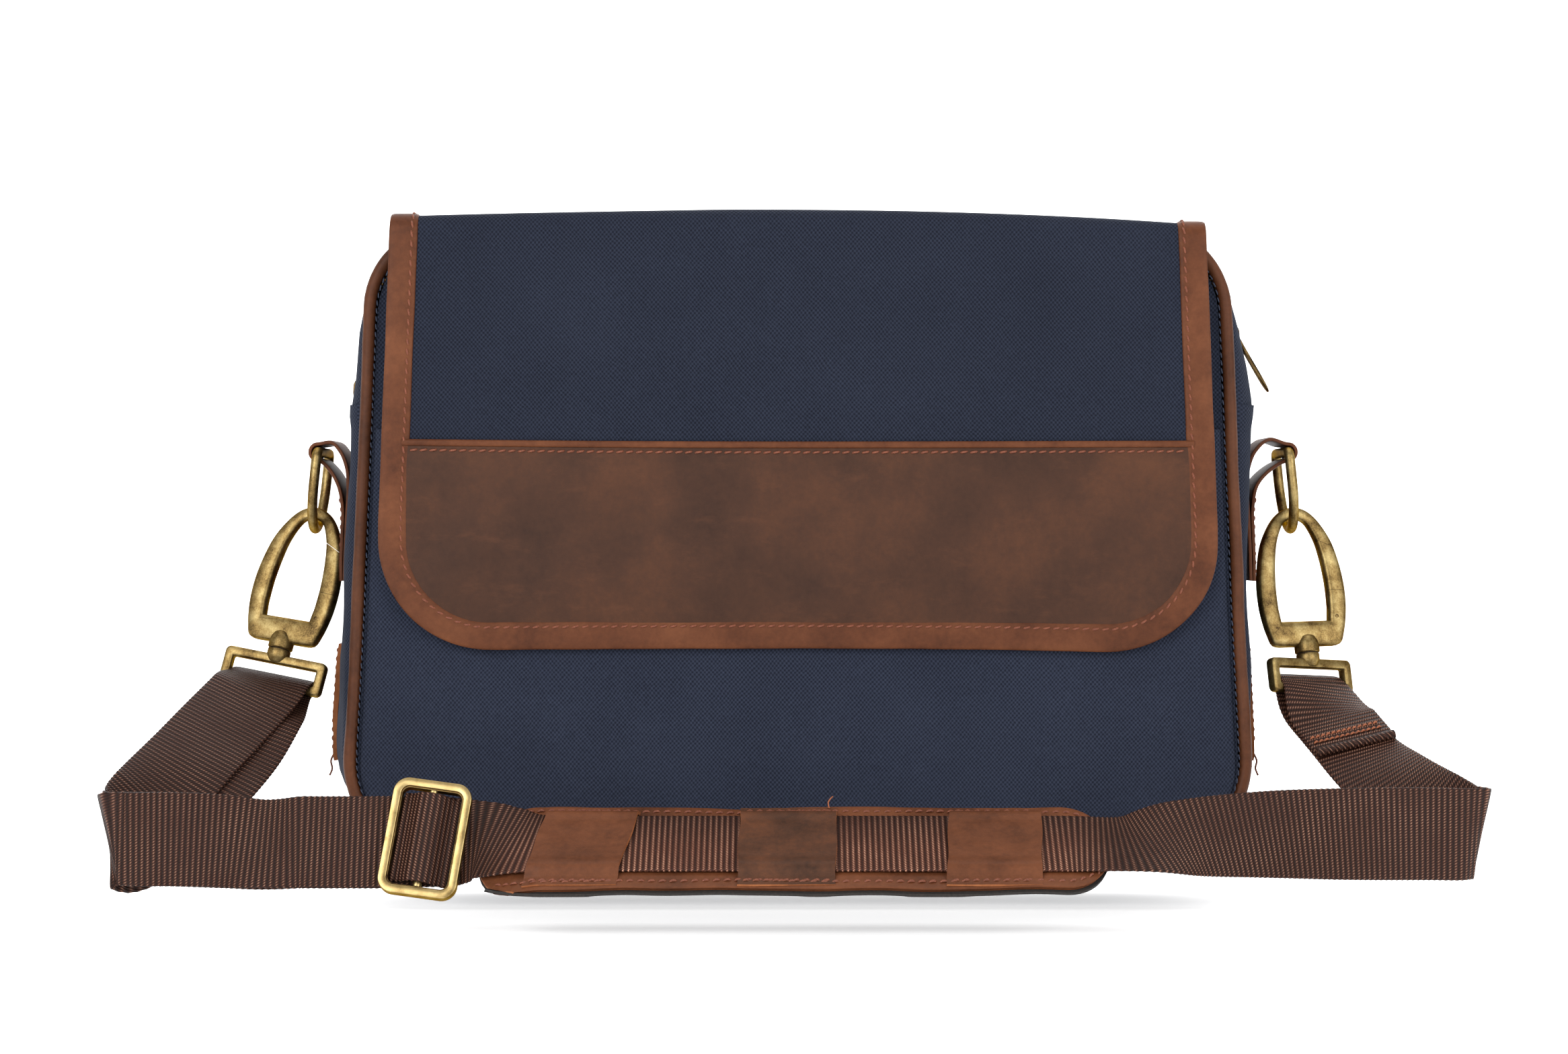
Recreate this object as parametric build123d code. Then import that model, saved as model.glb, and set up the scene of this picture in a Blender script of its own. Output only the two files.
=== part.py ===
from build123d import *
import os
from math import atan2, cos, degrees, radians, sin

# A canvas messenger bag, in millimetres. +Z is up, +X is to the right and the front faces -Y.
# The origin is on the ground under the middle of the bag's body.

# Bag body
PANEL_Y = 50.0            # outer faces of the front and back panels
CANVAS = 1.8              # canvas thickness
SEAM_BOTTOM = 5.0         # lower edge of the panels
SEAM_TOP = 272.0          # upper edge of the panels
FOOT_HALF = 193.0         # half width of the panels at their lower edge
HIP_Z, HIP_HALF = 112.0, 187.5
SHOULDER_HALF = 181.0     # half width of the panels at their upper edge
FOOT_R, HIP_R, SHOULDER_R = 40.0, 400.0, 33.0
BULGE = 9.5               # how far the gusset swells past the panels at its sides
BULGE_Y = 28.0            # the gusset is fully swollen between -BULGE_Y and BULGE_Y
GUSSET_TOP = 277.5
ZIP_SEAM_Z = 199.0        # seam between the lower gusset and the zip gusset
PIPING_R = 2.2
LINING = 0.8
LINING_GAP = 2.6
LINING_TOP = 199.0

# Main zip
TAPE_Y, CHAIN_Y, CHAIN_GAP = 12.0, 3.4, 1.0
TAPE, CHAIN = 0.8, 2.4
MOUTH_HALF = 138.0        # half length of the open mouth on top
MOUTH_Y = 11.0            # half width of the open mouth on top
MOUTH_Z = 266.0
SLIDER_LONG, SLIDER_HALF_Y, SLIDER_PLATE = 11.0, 4.6, 1.4
SLIDER_Z = {"left": 207.0, "right": 231.0}
PULL_SWING = {"left": 4.0, "right": 30.0}   # how far each pull stands off its gusset, degrees
PULL_LONG = {"left": 15.0, "right": 29.0}
PULL_BAR_R = 0.55      # the round bar of a pull's eye, which turns under the slider's bridge

# Front pocket
POCKET_Y, POCKET_TOP, POCKET_SIDE = 57.0, 188.0, 8.0

# Flap
FLAP_Z = 281.0            # middle of the flap's thickness on top, and the height of both fold lines
FLAP_Y = 60.4             # middle of the flap's thickness in front
FLAP_REAR = 53.8          # the fold line at the back
FLAP_HALF_T = 1.8         # half of the flap's thickness at its binding
FOLD_GAP = 0.4
FLAP_TOP_HALF, FLAP_LOW_HALF, FLAP_LOW_Z = 174.5, 179.5, 150.0
FLAP_BOTTOM, FLAP_R = 92.0, 48.0
BINDING = 12.0
PANEL_TRIM_Z, PANEL_TRIM = 183.5, 2.4
LAYER_MID = 0.6           # the flap's lining lies behind this offset from its mid plane
STUD_R, STUD_X, STUD_Z = 9.0, 95.0, 120.0

# D-rings and chapes
RING_R = 21.0             # centre line of the D's round end
RING_WIRE = 2.2
RING_ARM = 13.0
RING_LOW_Z = 145.2        # centre of the wire at the lowest point
RING_TILT = 6.0
LINK_X = {"left": -214.7, "right": 219.5}
SWING_Z = RING_LOW_Z + RING_R
CHAPE_HALF, CHAPE_LOW, CHAPE_T, CHAPE_EYE = 18.0, 122.0, 3.2, 4.5
STRIP_LOW, STRIP_HIGH, STRIP_T = 52.0, 95.0, 2.0

# Snap hooks. Depths run down from the middle of the wire at the bow's top.
HOOK_WIRE = 2.6
HOOK_HALF_T = 3.2
BOW_R = 9.0               # centre line of the bow's top
LINK_GAP = 1.6
LINK_OUT = 1.0            # how far outside the ring's lowest point the hook's arc is centred
HOOK_OUTER = [(17.4, 54.8), (20.2, 41.9), (20.2, 31.9), (18.3, 20.9), (16.0, 12.4), (11.2, 4.0), (0.0, -2.6)]
HOOK_INNER = [(11.3, 47.5), (11.9, 41.9), (12.0, 31.9), (10.9, 20.9), (9.0, 12.4), (5.9, 5.6), (0.0, 2.6)]
HOOK_BASE, HOOK_SILL = 60.0, 48.9
HOOK_BASE_HALF, HOOK_SILL_HALF, HOOK_STEP = 15.0, 10.9, 0.9
GATE_TOP, GATE_SLANT, GATE_LOW, GATE_GAP = 12.8, 3.0, 36.0, 0.35
GATE_PIN = (14.4, 47.6)
GATE_PIN_R, TONGUE_R, TONGUE_HALF, SLOT_HALF = 1.1, 3.0, 1.2, 1.5
BOSS_R, BOSS_TOP, BOSS_LOW = 4.8, 58.5, 63.0
KNUCKLE_R, POST_R = 4.3, 2.0
LOOP_TOP, LOOP_LOW = 67.8, 78.9
LOOP_HALF, LOOP_BAR, LOOP_HALF_T = 23.6, 4.0, 2.5
HOOK_TILT = {"left": 13.0, "right": -4.5}
HOOK_TURN = {"left": -17.0, "right": 14.0}
HOOK_LEAN = {"left": 14.0, "right": 12.0}
LOOP_TURN = {"left": 8.0, "right": 21.0}

# Strap webbing, 38 mm wide
WEB_W, WEB_T, WEB_GAP = 38.0, 1.6, 0.3
LAYER_STEP = 2.2          # between the middles of the two layers of the doubled left part
INNER_END = 25.0          # how far the inner layer runs on past the start of the straight stretch
TAB_STEP = 2.1            # between the middles of the right end's two layers
WRAP_TURNS = (90, 60, 30, 8)
PAD_LEAN = 60.0
WEB_PAD = (-164.0, 8.9)   # y and z of the webbing's lower edge along the pad
WEB_SLIDE = (-146.5, 0.7)
SLIDE_LEAN = 20.0
PAD_SPAN = (-120.0, 124.0)
PAD_HALF_W, PAD_LEATHER, PAD_BACKING, PAD_END_R = 28.0, 2.4, 1.2, 18.0
PAD_GAP = 1.2
LOOP_X = {"left": -87.0, "middle": -4.5, "right": 79.0}
PAD_LOOP_HALF, PAD_LOOP_T = 20.0, 1.8

# Adjuster
ADJUSTER_X, ADJUSTER_TURN = -151.0, 8.0
ADJUSTER_HALF = (16.0, 24.0)
ADJUSTER_BAR, ADJUSTER_T, ADJUSTER_R = 4.0, 5.0, 6.0
CENTRE_BAR_R = 1.8

SIDES = {"left": -1, "right": 1}
os.makedirs("parts", exist_ok=True)


def save(name, shape):
    """Write one node."""
    export_step(shape, f"parts/{name}.step")


def slab(x0, x1, y0, y1, z0, z1):
    """A box between two corners."""
    return Pos((x0 + x1) / 2, (y0 + y1) / 2, (z0 + z1) / 2) * Box(x1 - x0, y1 - y0, z1 - z0)


def outline(y, grow=0.0, bottom=SEAM_BOTTOM, top=SEAM_TOP):
    """The bag's outline at depth y, grown sideways."""
    half = [(FOOT_HALF + grow, bottom), (HIP_HALF + grow, HIP_Z), (SHOULDER_HALF + grow, top)]
    points = half + [(-x, z) for x, z in reversed(half)]
    radii = [FOOT_R + grow, HIP_R, SHOULDER_R + grow]
    return FilletPolyline(
        [Vector(x, y, z) for x, z in points], radius=radii + radii[::-1], close=True
    )


def plate(y0, y1, grow=0.0, bottom=SEAM_BOTTOM, top=SEAM_TOP):
    """The outline, filled and thickened from y0 to y1."""
    face = make_face(outline(y0, grow, bottom, top).edges())
    return Part() + extrude(face, amount=y1 - y0, dir=(0, 1, 0))


def inset_plate(y0, y1, inset):
    """A plate that lies inside the outline by inset all round."""
    return plate(y0, y1, -inset, SEAM_BOTTOM + inset, SEAM_TOP - inset)


def swollen(inset):
    """The whole gusset's outer form, made smaller by inset."""
    rims = [
        (-PANEL_Y + CANVAS, -inset, SEAM_BOTTOM + inset, SEAM_TOP - inset),
        (-BULGE_Y, BULGE - inset, inset, GUSSET_TOP - inset),
        (BULGE_Y, BULGE - inset, inset, GUSSET_TOP - inset),
        (PANEL_Y - CANVAS, -inset, SEAM_BOTTOM + inset, SEAM_TOP - inset),
    ]
    wires = [Wire(outline(*rim).edges()) for rim in rims]
    return Solid.make_loft(wires, ruled=True)


def band(inner, outer, y0, y1):
    """A strip of the zip gusset, between two depths under its outer surface, above the seam."""
    ring = plate(y0, y1, BULGE - outer, outer, GUSSET_TOP - outer)
    ring -= plate(y0, y1, BULGE - inner, inner, GUSSET_TOP - inner)
    return ring & slab(-300, 300, y0, y1, ZIP_SEAM_Z, 300)


def mouth():
    """The space between the two halves of the open zip, over the top of the bag."""
    return slab(-MOUTH_HALF, MOUTH_HALF, -MOUTH_Y, MOUTH_Y, MOUTH_Z, GUSSET_TOP + 5)


def body():
    save("front_panel", plate(-PANEL_Y, -PANEL_Y + CANVAS))
    save("back_panel", plate(PANEL_Y - CANVAS, PANEL_Y))
    shell = Part() + swollen(0.0) - swollen(CANVAS)
    save("gusset_lower", shell & slab(-300, 300, -60, 60, -5, ZIP_SEAM_Z))
    upper = shell & slab(-300, 300, -60, 60, ZIP_SEAM_Z, 300)
    save("gusset_top_front", upper & slab(-300, 300, -60, -TAPE_Y, 0, 300))
    save("gusset_top_rear", upper & slab(-300, 300, TAPE_Y, 60, 0, 300))
    tape = band(0.5 + TAPE, 0.5, -TAPE_Y, -CHAIN_Y) - mouth()
    chain = band(CHAIN - 0.3, -0.3, -CHAIN_Y, -CHAIN_GAP) - mouth()
    save("zip_tape_front", tape)
    save("zip_tape_rear", mirror(tape, Plane.XZ))
    save("zip_chain_front", chain)
    save("zip_chain_rear", mirror(chain, Plane.XZ))


def piping():
    away = PIPING_R + 0.1
    for name, side in (("piping_front", -1), ("piping_rear", 1)):
        y = side * (PANEL_Y - 0.8)
        path = Wire(outline(y, away, SEAM_BOTTOM - away, SEAM_TOP + away).edges())
        ring = Plane(origin=path @ 0, z_dir=path % 0) * Circle(PIPING_R)
        save(name, sweep(ring, path=path))


def front_pocket():
    """A patch with side walls, open along its hem."""
    face = -POCKET_Y
    block = plate(face, -PANEL_Y, -4.0, SEAM_BOTTOM + 4.0) & slab(-300, 300, -70, 0, 0, POCKET_TOP)
    hollow = plate(
        face + 1.6, -PANEL_Y, -POCKET_SIDE, SEAM_BOTTOM + POCKET_SIDE
    ) & slab(-300, 300, -70, 0, 0, POCKET_TOP)
    save("front_pocket", block - hollow)
    sockets = Part()
    for side in (-1, 1):
        disc = Cylinder(STUD_R, 1.7, rotation=(90, 0, 0))
        sockets += Pos(side * STUD_X, face + 1.6 + 0.05 + 0.85, STUD_Z) * disc
    save("magnet_sockets", sockets)


def inside():
    reach = PANEL_Y - CANVAS - 0.6
    outer = inset_plate(-reach, reach, LINING_GAP)
    inner = inset_plate(-reach + LINING, reach - LINING, LINING_GAP + LINING)
    low = slab(-300, 300, -60, 60, 0, LINING_TOP)
    save("lining", (outer - inner) & low)
    save("divider", inset_plate(18, 23, 6.0) & low)
    save("base_board", slab(-148, 148, -26, 26, 2.4, 4.4))


def flap_outline(inset):
    """The front part of the flap, below its fold line."""
    low = FLAP_BOTTOM + inset
    half = [(FLAP_LOW_HALF - inset, low), (FLAP_LOW_HALF - inset, FLAP_LOW_Z), (FLAP_TOP_HALF - inset, FLAP_Z)]
    points = [Vector(x, 0, z) for x, z in half + [(-x, z) for x, z in reversed(half)]]
    radii = [FLAP_R - inset, 200.0, 0.0]
    return make_face(FilletPolyline(points, radius=radii + radii[::-1], close=True).edges())


def flap_layer(inset, y0, y1):
    return Part() + extrude(Pos(0, y0, 0) * flap_outline(inset), amount=y1 - y0, dir=(0, 1, 0))


def flap_front():
    front, back = -FLAP_Y - FLAP_HALF_T, -FLAP_Y + FLAP_HALF_T
    lining_y = -FLAP_Y + LAYER_MID
    save("flap_binding", flap_layer(0.0, front, back) - flap_layer(BINDING, front - 1, back + 1))
    sheet = flap_layer(BINDING, front + 0.4, lining_y)
    save("flap_canvas", sheet & slab(-300, 300, -80, 0, PANEL_TRIM_Z, 300))
    save("flap_panel_trim", sheet & slab(-300, 300, -80, 0, PANEL_TRIM_Z - PANEL_TRIM, PANEL_TRIM_Z))
    save("flap_leather_panel", sheet & slab(-300, 300, -80, 0, 0, PANEL_TRIM_Z - PANEL_TRIM))
    save("flap_lining", flap_layer(BINDING, lining_y, lining_y + LINING))
    studs = Part()
    for side in (-1, 1):
        disc = Cylinder(STUD_R, 1.4, rotation=(90, 0, 0))
        studs += Pos(side * STUD_X, lining_y + LINING + 0.05 + 0.7, STUD_Z) * disc
    save("magnet_studs", studs)


def flap_top():
    y0 = -FLAP_Y + FLAP_HALF_T + FOLD_GAP
    y1 = FLAP_REAR
    inner = FLAP_TOP_HALF - BINDING
    low, high = FLAP_Z - FLAP_HALF_T, FLAP_Z + FLAP_HALF_T
    edges = slab(-FLAP_TOP_HALF, FLAP_TOP_HALF, y0, y1, low, high) - slab(-inner, inner, y0, y1, low, high)
    save("flap_binding_top", edges)
    middle = FLAP_Z - LAYER_MID
    save("flap_canvas_top", slab(-inner, inner, y0, y1, middle, high - 0.4))
    save("flap_lining_top", slab(-inner, inner, y0, y1, middle - LINING, middle))
    strip_top = FLAP_Z - FLAP_HALF_T - FOLD_GAP
    strip = slab(-FLAP_TOP_HALF, FLAP_TOP_HALF, y1 - FLAP_HALF_T, y1 + FLAP_HALF_T, strip_top - 42, strip_top)
    save("flap_back_strip", strip)


def gusset_x(z):
    """Half width of the swollen gusset at height z, between the corners."""
    if z < HIP_Z:
        run = z / HIP_Z
        return FOOT_HALF + BULGE + (HIP_HALF - FOOT_HALF) * run
    run = (z - HIP_Z) / (GUSSET_TOP - HIP_Z)
    return HIP_HALF + BULGE + (SHOULDER_HALF - HIP_HALF) * run


def ring_bar(side):
    """x and z of the D-ring's straight bar."""
    high = RING_R + RING_ARM
    x = LINK_X[side] - SIDES[side] * high * sin(radians(RING_TILT))
    return x, RING_LOW_Z + high * cos(radians(RING_TILT))


def d_ring(side):
    """A D of round wire, hung by its straight bar."""
    arms = FilletPolyline(
        (0, RING_R, 0), (0, RING_R, RING_ARM), (0, -RING_R, RING_ARM), (0, -RING_R, 0), radius=3.2
    )
    bow = ThreePointArc((0, -RING_R, 0), (0, 0, -RING_R), (0, RING_R, 0))
    path = Wire(arms.edges() + bow.edges())
    ring = sweep(Plane(origin=path @ 0, z_dir=path % 0) * Circle(RING_WIRE), path=path)
    x, z = ring_bar(side)
    hang = Pos(x, 0, z) * Rot(0, -SIDES[side] * RING_TILT, 0) * Pos(0, 0, -RING_ARM)
    save(f"d_ring_{side}", hang * ring)


def chape(side):
    """A leather tab that lies up the gusset and folds over the D-ring's bar."""
    s = SIDES[side]
    bx, bz = ring_bar(side)
    eye = CHAPE_EYE
    low = gusset_x(CHAPE_LOW) + 0.1
    high = gusset_x(172) + 0.1
    points = [
        (low, CHAPE_LOW),
        (low + CHAPE_T, CHAPE_LOW),
        (high + CHAPE_T, 164.0),
        (abs(bx) - 1.0, bz - eye + 0.2),
        (abs(bx) - 2.4, bz + eye - 0.7),
        (high, 174.0),
    ]
    profile = make_face(Polyline([Vector(s * x, -CHAPE_HALF, z) for x, z in points], close=True).edges())
    tab = Part() + extrude(profile, amount=2 * CHAPE_HALF, dir=(0, 1, 0))
    tab += Pos(bx, 0, bz) * Cylinder(eye, 2 * CHAPE_HALF, rotation=(90, 0, 0))
    tab -= Pos(bx, 0, bz) * Cylinder(RING_WIRE + 0.3, 2 * CHAPE_HALF + 2, rotation=(90, 0, 0))
    save(f"chape_{side}", tab)


def side_strip(side):
    """A leather strip sewn low on the gusset."""
    s = SIDES[side]
    edge = [(gusset_x(z) + 0.1, z) for z in (STRIP_LOW, STRIP_HIGH)]
    points = edge + [(x + STRIP_T, z) for x, z in reversed(edge)]
    profile = make_face(Polyline([Vector(s * x, -CHAPE_HALF, z) for x, z in points], close=True).edges())
    save(f"side_strip_{side}", Part() + extrude(profile, amount=2 * CHAPE_HALF, dir=(0, 1, 0)))


def hook_place(side):
    """Where a hook stands: turned, tilted, hung in its ring and leaning forward."""
    link_z = RING_LOW_Z + RING_WIRE + HOOK_WIRE + LINK_GAP
    lean = Pos(0, 0, SWING_Z) * Rot(-HOOK_LEAN[side], 0, 0) * Pos(0, 0, -SWING_Z)
    link_x = LINK_X[side] + SIDES[side] * LINK_OUT
    tilt = Pos(link_x, 0, link_z - BOW_R) * Rot(0, HOOK_TILT[side], 0) * Pos(0, 0, BOW_R)
    return lean * tilt * Rot(0, 0, HOOK_TURN[side])


def loop_place(side):
    """The strap loop turns on the hook's post."""
    return hook_place(side) * Rot(0, 0, LOOP_TURN[side])


def bow_face(points, low, low_half):
    """A stirrup outline from half of its points, closed by a straight sill."""
    right = [Vector(x, 0, -depth) for x, depth in points]
    left = [Vector(-x, 0, -depth) for x, depth in reversed(points[:-1])]
    curve = Spline(right + left)
    sill = Polyline(left[-1], (-low_half, 0, -low), (low_half, 0, -low), right[0])
    return make_face(curve.edges() + sill.edges())


def prism(face, half):
    """A face in the hook's plane, thickened both ways."""
    return Part() + extrude(Pos(0, -half, 0) * face, amount=2 * half, dir=(0, 1, 0))


def polygon(points):
    return make_face(Polyline([Vector(x, 0, -depth) for x, depth in points], close=True).edges())


def hook_blank():
    """The cast stirrup, stepped towards its faces so that its outer edge isn't sharp."""
    limb, (apex, top) = HOOK_OUTER[:-1], HOOK_OUTER[-1]
    narrow = [(x - HOOK_STEP, depth) for x, depth in limb] + [(apex, top + HOOK_STEP)]
    blank = prism(bow_face(HOOK_OUTER, HOOK_BASE, HOOK_BASE_HALF), HOOK_HALF_T - HOOK_STEP)
    blank += prism(bow_face(narrow, HOOK_BASE - HOOK_STEP, HOOK_BASE_HALF - HOOK_STEP), HOOK_HALF_T)
    return blank - prism(bow_face(HOOK_INNER, HOOK_SILL, HOOK_SILL_HALF), HOOK_HALF_T + 1)


def gate_window(gap):
    """The stretch of the right-hand limb that the gate fills, less a gap at each end."""
    top, low = GATE_TOP + gap, GATE_LOW - gap
    return prism(polygon([(6.0, top - 1.2), (24.0, top + 1.2 + GATE_SLANT * 2), (24.0, low), (6.0, low)]), 6.0)


def tongue(grow):
    """The gate's flat tongue, from the limb down round the pin."""
    x, depth = GATE_PIN
    half = (SLOT_HALF if grow else TONGUE_HALF)
    inner = 4.0 if grow else x - TONGUE_R
    plate_ = prism(polygon([(inner, GATE_LOW - 2), (x + TONGUE_R + grow, GATE_LOW - 2),
                            (x + TONGUE_R + grow, depth), (inner, depth)]), half)
    return plate_ + Pos(x, 0, -depth) * Cylinder(TONGUE_R + grow, 2 * half, rotation=(90, 0, 0))


def hook(side):
    place = hook_place(side)
    blank = hook_blank()
    x, depth = GATE_PIN
    pin = Pos(x, 0, -depth) * Cylinder(GATE_PIN_R, 2 * HOOK_HALF_T - 0.4, rotation=(90, 0, 0))
    bore = Pos(x, 0, -depth) * Cylinder(GATE_PIN_R, 2 * HOOK_HALF_T + 2, rotation=(90, 0, 0))
    pocket = slab(3.5, x - 1, -SLOT_HALF, SLOT_HALF, -depth - 5.6, -depth - 2.6)
    boss_mid, boss_long = -(BOSS_TOP + BOSS_LOW) / 2, BOSS_LOW - BOSS_TOP
    frame = blank - gate_window(0.0) - tongue(0.4) - pocket - bore
    frame += Pos(0, 0, boss_mid) * Cylinder(BOSS_R, boss_long)
    frame -= Pos(0, 0, -(BOSS_LOW + HOOK_SILL + 5) / 2) * Cylinder(POST_R + 0.05, BOSS_LOW - HOOK_SILL - 5 + 0.2)
    save(f"hook_frame_{side}", place * frame)
    gate = (blank & gate_window(GATE_GAP)) + (tongue(0.0) & slab(0, 30, -5, 5, -60, -GATE_LOW + 2.5))
    gate -= Pos(x, 0, -depth) * Cylinder(GATE_PIN_R + 0.05, 12, rotation=(90, 0, 0))
    save(f"hook_gate_{side}", place * gate)
    save(f"gate_pin_{side}", place * pin)
    coil = Cylinder(1.2, 5.6, rotation=(0, 90, 0)) - Cylinder(0.7, 8, rotation=(0, 90, 0))
    save(f"gate_spring_{side}", place * (Pos(6.6, 0, -depth - 4.1) * coil))


def strap_loop(side):
    """A rectangular loop for the webbing, its knuckle and the post that holds it to the hook."""
    place = loop_place(side)
    knuckle_top = BOSS_LOW + 0.3
    post = Pos(0, 0, -(HOOK_SILL + 6 + LOOP_TOP) / 2) * Cylinder(POST_R, LOOP_TOP - HOOK_SILL - 6)
    inner = LOOP_HALF - LOOP_BAR
    block = slab(-LOOP_HALF, LOOP_HALF, -LOOP_HALF_T, LOOP_HALF_T, -LOOP_LOW - 1.8, -LOOP_TOP + LOOP_BAR / 2)
    block -= slab(-inner, inner, -4, 4, -LOOP_LOW - 4, -LOOP_TOP - LOOP_BAR / 2)
    block += Pos(0, 0, -LOOP_LOW) * Cylinder(LOOP_BAR / 2, 2 * LOOP_HALF - 1, rotation=(0, 90, 0))
    block += Pos(0, 0, -(knuckle_top + LOOP_TOP) / 2) * Cylinder(KNUCKLE_R, LOOP_TOP - knuckle_top)
    save(f"strap_loop_{side}", place * (block - post))
    save(f"swivel_post_{side}", place * post)


def ribbon(stations, width=WEB_W, thick=WEB_T, offset=0.0):
    """A flat band through stations, each a centre point and the direction across the band."""
    sections = []
    last = len(stations) - 1
    for i, (centre, across) in enumerate(stations):
        along = stations[min(i + 1, last)][0] - stations[max(i - 1, 0)][0]
        normal = across.cross(along).normalized()
        middle = centre + normal * offset
        w, t = across * (width / 2), normal * (thick / 2)
        corners = [middle + w + t, middle - w + t, middle - w - t, middle + w - t]
        sections.append(Wire.make_polygon(corners, close=True))
    return Solid.make_loft(sections, ruled=True)


def edges_at(upper, lower):
    """A station from a point on each edge of the band."""
    up, low = Vector(*upper), Vector(*lower)
    return (up + low) / 2, (up - low).normalized()


def standing(x, y, z, lean):
    """A station of the front run: its lower edge at x, y, z, leaning back by lean degrees."""
    across = Vector(0, sin(radians(lean)), cos(radians(lean)))
    return Vector(x, y, z) + across * (WEB_W / 2), across


def right_rise():
    """From the right loop down to the floor and round the fold. Upper edge, then lower edge."""
    return [
        edges_at((247, -27, 69), (216, -44, 57)),
        edges_at((251, -36.5, 63), (220, -53.5, 51)),
        edges_at((255, -46, 57), (224, -63, 45)),
        edges_at((263, -67, 50), (236, -82, 30)),
        edges_at((273, -88, 44), (255, -98, 12)),
        edges_at((282.5, -106, 38.6), (275.5, -105.5, 0.8)),
        edges_at((286.5, -110.5, 38.4), (279.5, -110, 0.7)),
        edges_at((286, -115, 38.4), (279, -114.5, 0.7)),
        edges_at((280, -118, 38.4), (274, -117.5, 0.7)),
    ]


def front_run():
    """From the right fold along the front to the adjuster."""
    return [
        standing(258, -119, 0.7, 3),
        standing(225, -126, 1.5, 14),
        standing(190, -138, 3.6, 28),
        standing(160, -150, 5.6, 42),
        standing(136, *WEB_PAD, PAD_LEAN),
        standing(-120, *WEB_PAD, PAD_LEAN),
        standing(-126, -155.5, 4.4, 40),
        standing(-131, *WEB_SLIDE, SLIDE_LEAN),
        standing(-137, *WEB_SLIDE, SLIDE_LEAN),
    ]


def left_run():
    """From the adjuster along the front, round the left fold and up towards the left loop."""
    return [
        standing(-137, *WEB_SLIDE, SLIDE_LEAN),
        standing(-197, *WEB_SLIDE, SLIDE_LEAN),
        standing(-225, -144.5, 0.6, 13),
        standing(-252, -143, 0.6, 6),
        edges_at((-276, -141.5, 38.5), (-268, -142.5, 0.8)),
        edges_at((-283, -138.5, 38.5), (-274.5, -139.5, 0.8)),
        edges_at((-285, -132.5, 38.6), (-276.5, -133.5, 0.8)),
        edges_at((-283, -126, 39.4), (-274, -127.5, 1.6)),
        edges_at((-279, -105, 47), (-259, -113, 15)),
        edges_at((-271, -82, 57), (-242, -93, 36)),
        edges_at((-262, -60, 70), (-230, -70, 50)),
        edges_at((-254, -40, 81), (-220, -50, 62)),
    ]


def shifted(stations, offset):
    """The same stations moved along the band's normal."""
    moved = []
    last = len(stations) - 1
    for i, (centre, across) in enumerate(stations):
        along = stations[min(i + 1, last)][0] - stations[max(i - 1, 0)][0]
        moved.append((centre + across.cross(along).normalized() * offset, across))
    return moved


def wrap(side, toward, flip):
    """Stations over the top of the loop's bar, from the side that flip names to its top."""
    place = loop_place(side)
    bar = (place * Pos(0, 0, -LOOP_LOW)).position
    across = (place * Pos(SIDES[side], 0, -LOOP_LOW)).position - bar
    down = toward - bar
    down = (down - across * down.dot(across)).normalized()
    out = across.cross(down).normalized() * flip
    reach = LOOP_BAR / 2 + WEB_GAP + WEB_T / 2
    spots = [bar + out * (reach * sin(radians(a))) - down * (reach * cos(radians(a))) for a in WRAP_TURNS]
    return [(spot, across) for spot in spots]


def webbing():
    rise = right_rise()
    toward = rise[0][0]
    main = wrap("right", toward, 1)[::-1] + rise + front_run()
    save("webbing_right", ribbon(main))
    sewn = shifted(main, -TAB_STEP)[len(WRAP_TURNS):len(WRAP_TURNS) + 2]
    save("webbing_right_tab", ribbon(wrap("right", toward, -1)[::-1] + sewn))
    run = left_run()
    toward = run[-1][0]
    save("webbing_left_outer", ribbon(run + wrap("left", toward, -1)))
    inner = shifted(run, -LAYER_STEP)[1:]
    sewn_end = (inner[0][0] + Vector(INNER_END, 0, 0), inner[0][1])
    save("webbing_left_inner", ribbon([sewn_end] + inner + wrap("left", toward, 1)))


def lean_plane(x, y, z, lean):
    """A plane on the webbing: x along it, y up across it, z out towards the front."""
    up = Vector(0, sin(radians(lean)), cos(radians(lean)))
    origin = Vector(x, y, z) + up * (WEB_W / 2)
    return Plane(origin=origin, x_dir=(1, 0, 0), z_dir=Vector(1, 0, 0).cross(up))


def pad():
    plane = lean_plane(0, *WEB_PAD, PAD_LEAN)
    x0, x1 = PAD_SPAN
    blank = Pos((x0 + x1) / 2, 0) * RectangleRounded(x1 - x0, 2 * PAD_HALF_W, PAD_END_R)
    leather = extrude(plane * Pos(0, 0, -PAD_GAP - PAD_LEATHER) * blank, amount=PAD_LEATHER, dir=plane.z_dir)
    backing = extrude(
        plane * Pos(0, 0, -PAD_GAP - PAD_LEATHER - PAD_BACKING) * blank, amount=PAD_BACKING, dir=plane.z_dir
    )
    save("pad_leather", leather)
    save("pad_backing", backing)
    top = WEB_T / 2 + 0.4
    half = WEB_W / 2 + 0.8
    foot = -PAD_GAP + 0.02
    under = [(half + 6.5, foot), (half + 1.5, foot), (half, top), (-half, top), (-half - 1.5, foot),
             (-half - 6.5, foot)]
    t = PAD_LOOP_T
    over = [(-half - 6.5, foot + t), (-half - 2.6, foot + t), (-half - 1.1, top + t), (half + 1.1, top + t),
            (half + 2.6, foot + t), (half + 6.5, foot + t)]
    for name, x in LOOP_X.items():
        points = [plane.from_local_coords((x - PAD_LOOP_HALF, a, b)) for a, b in under + over]
        band_face = make_face(Polyline(points, close=True).edges())
        save(f"pad_loop_{name}", Part() + extrude(band_face, amount=2 * PAD_LOOP_HALF, dir=(1, 0, 0)))


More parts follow.
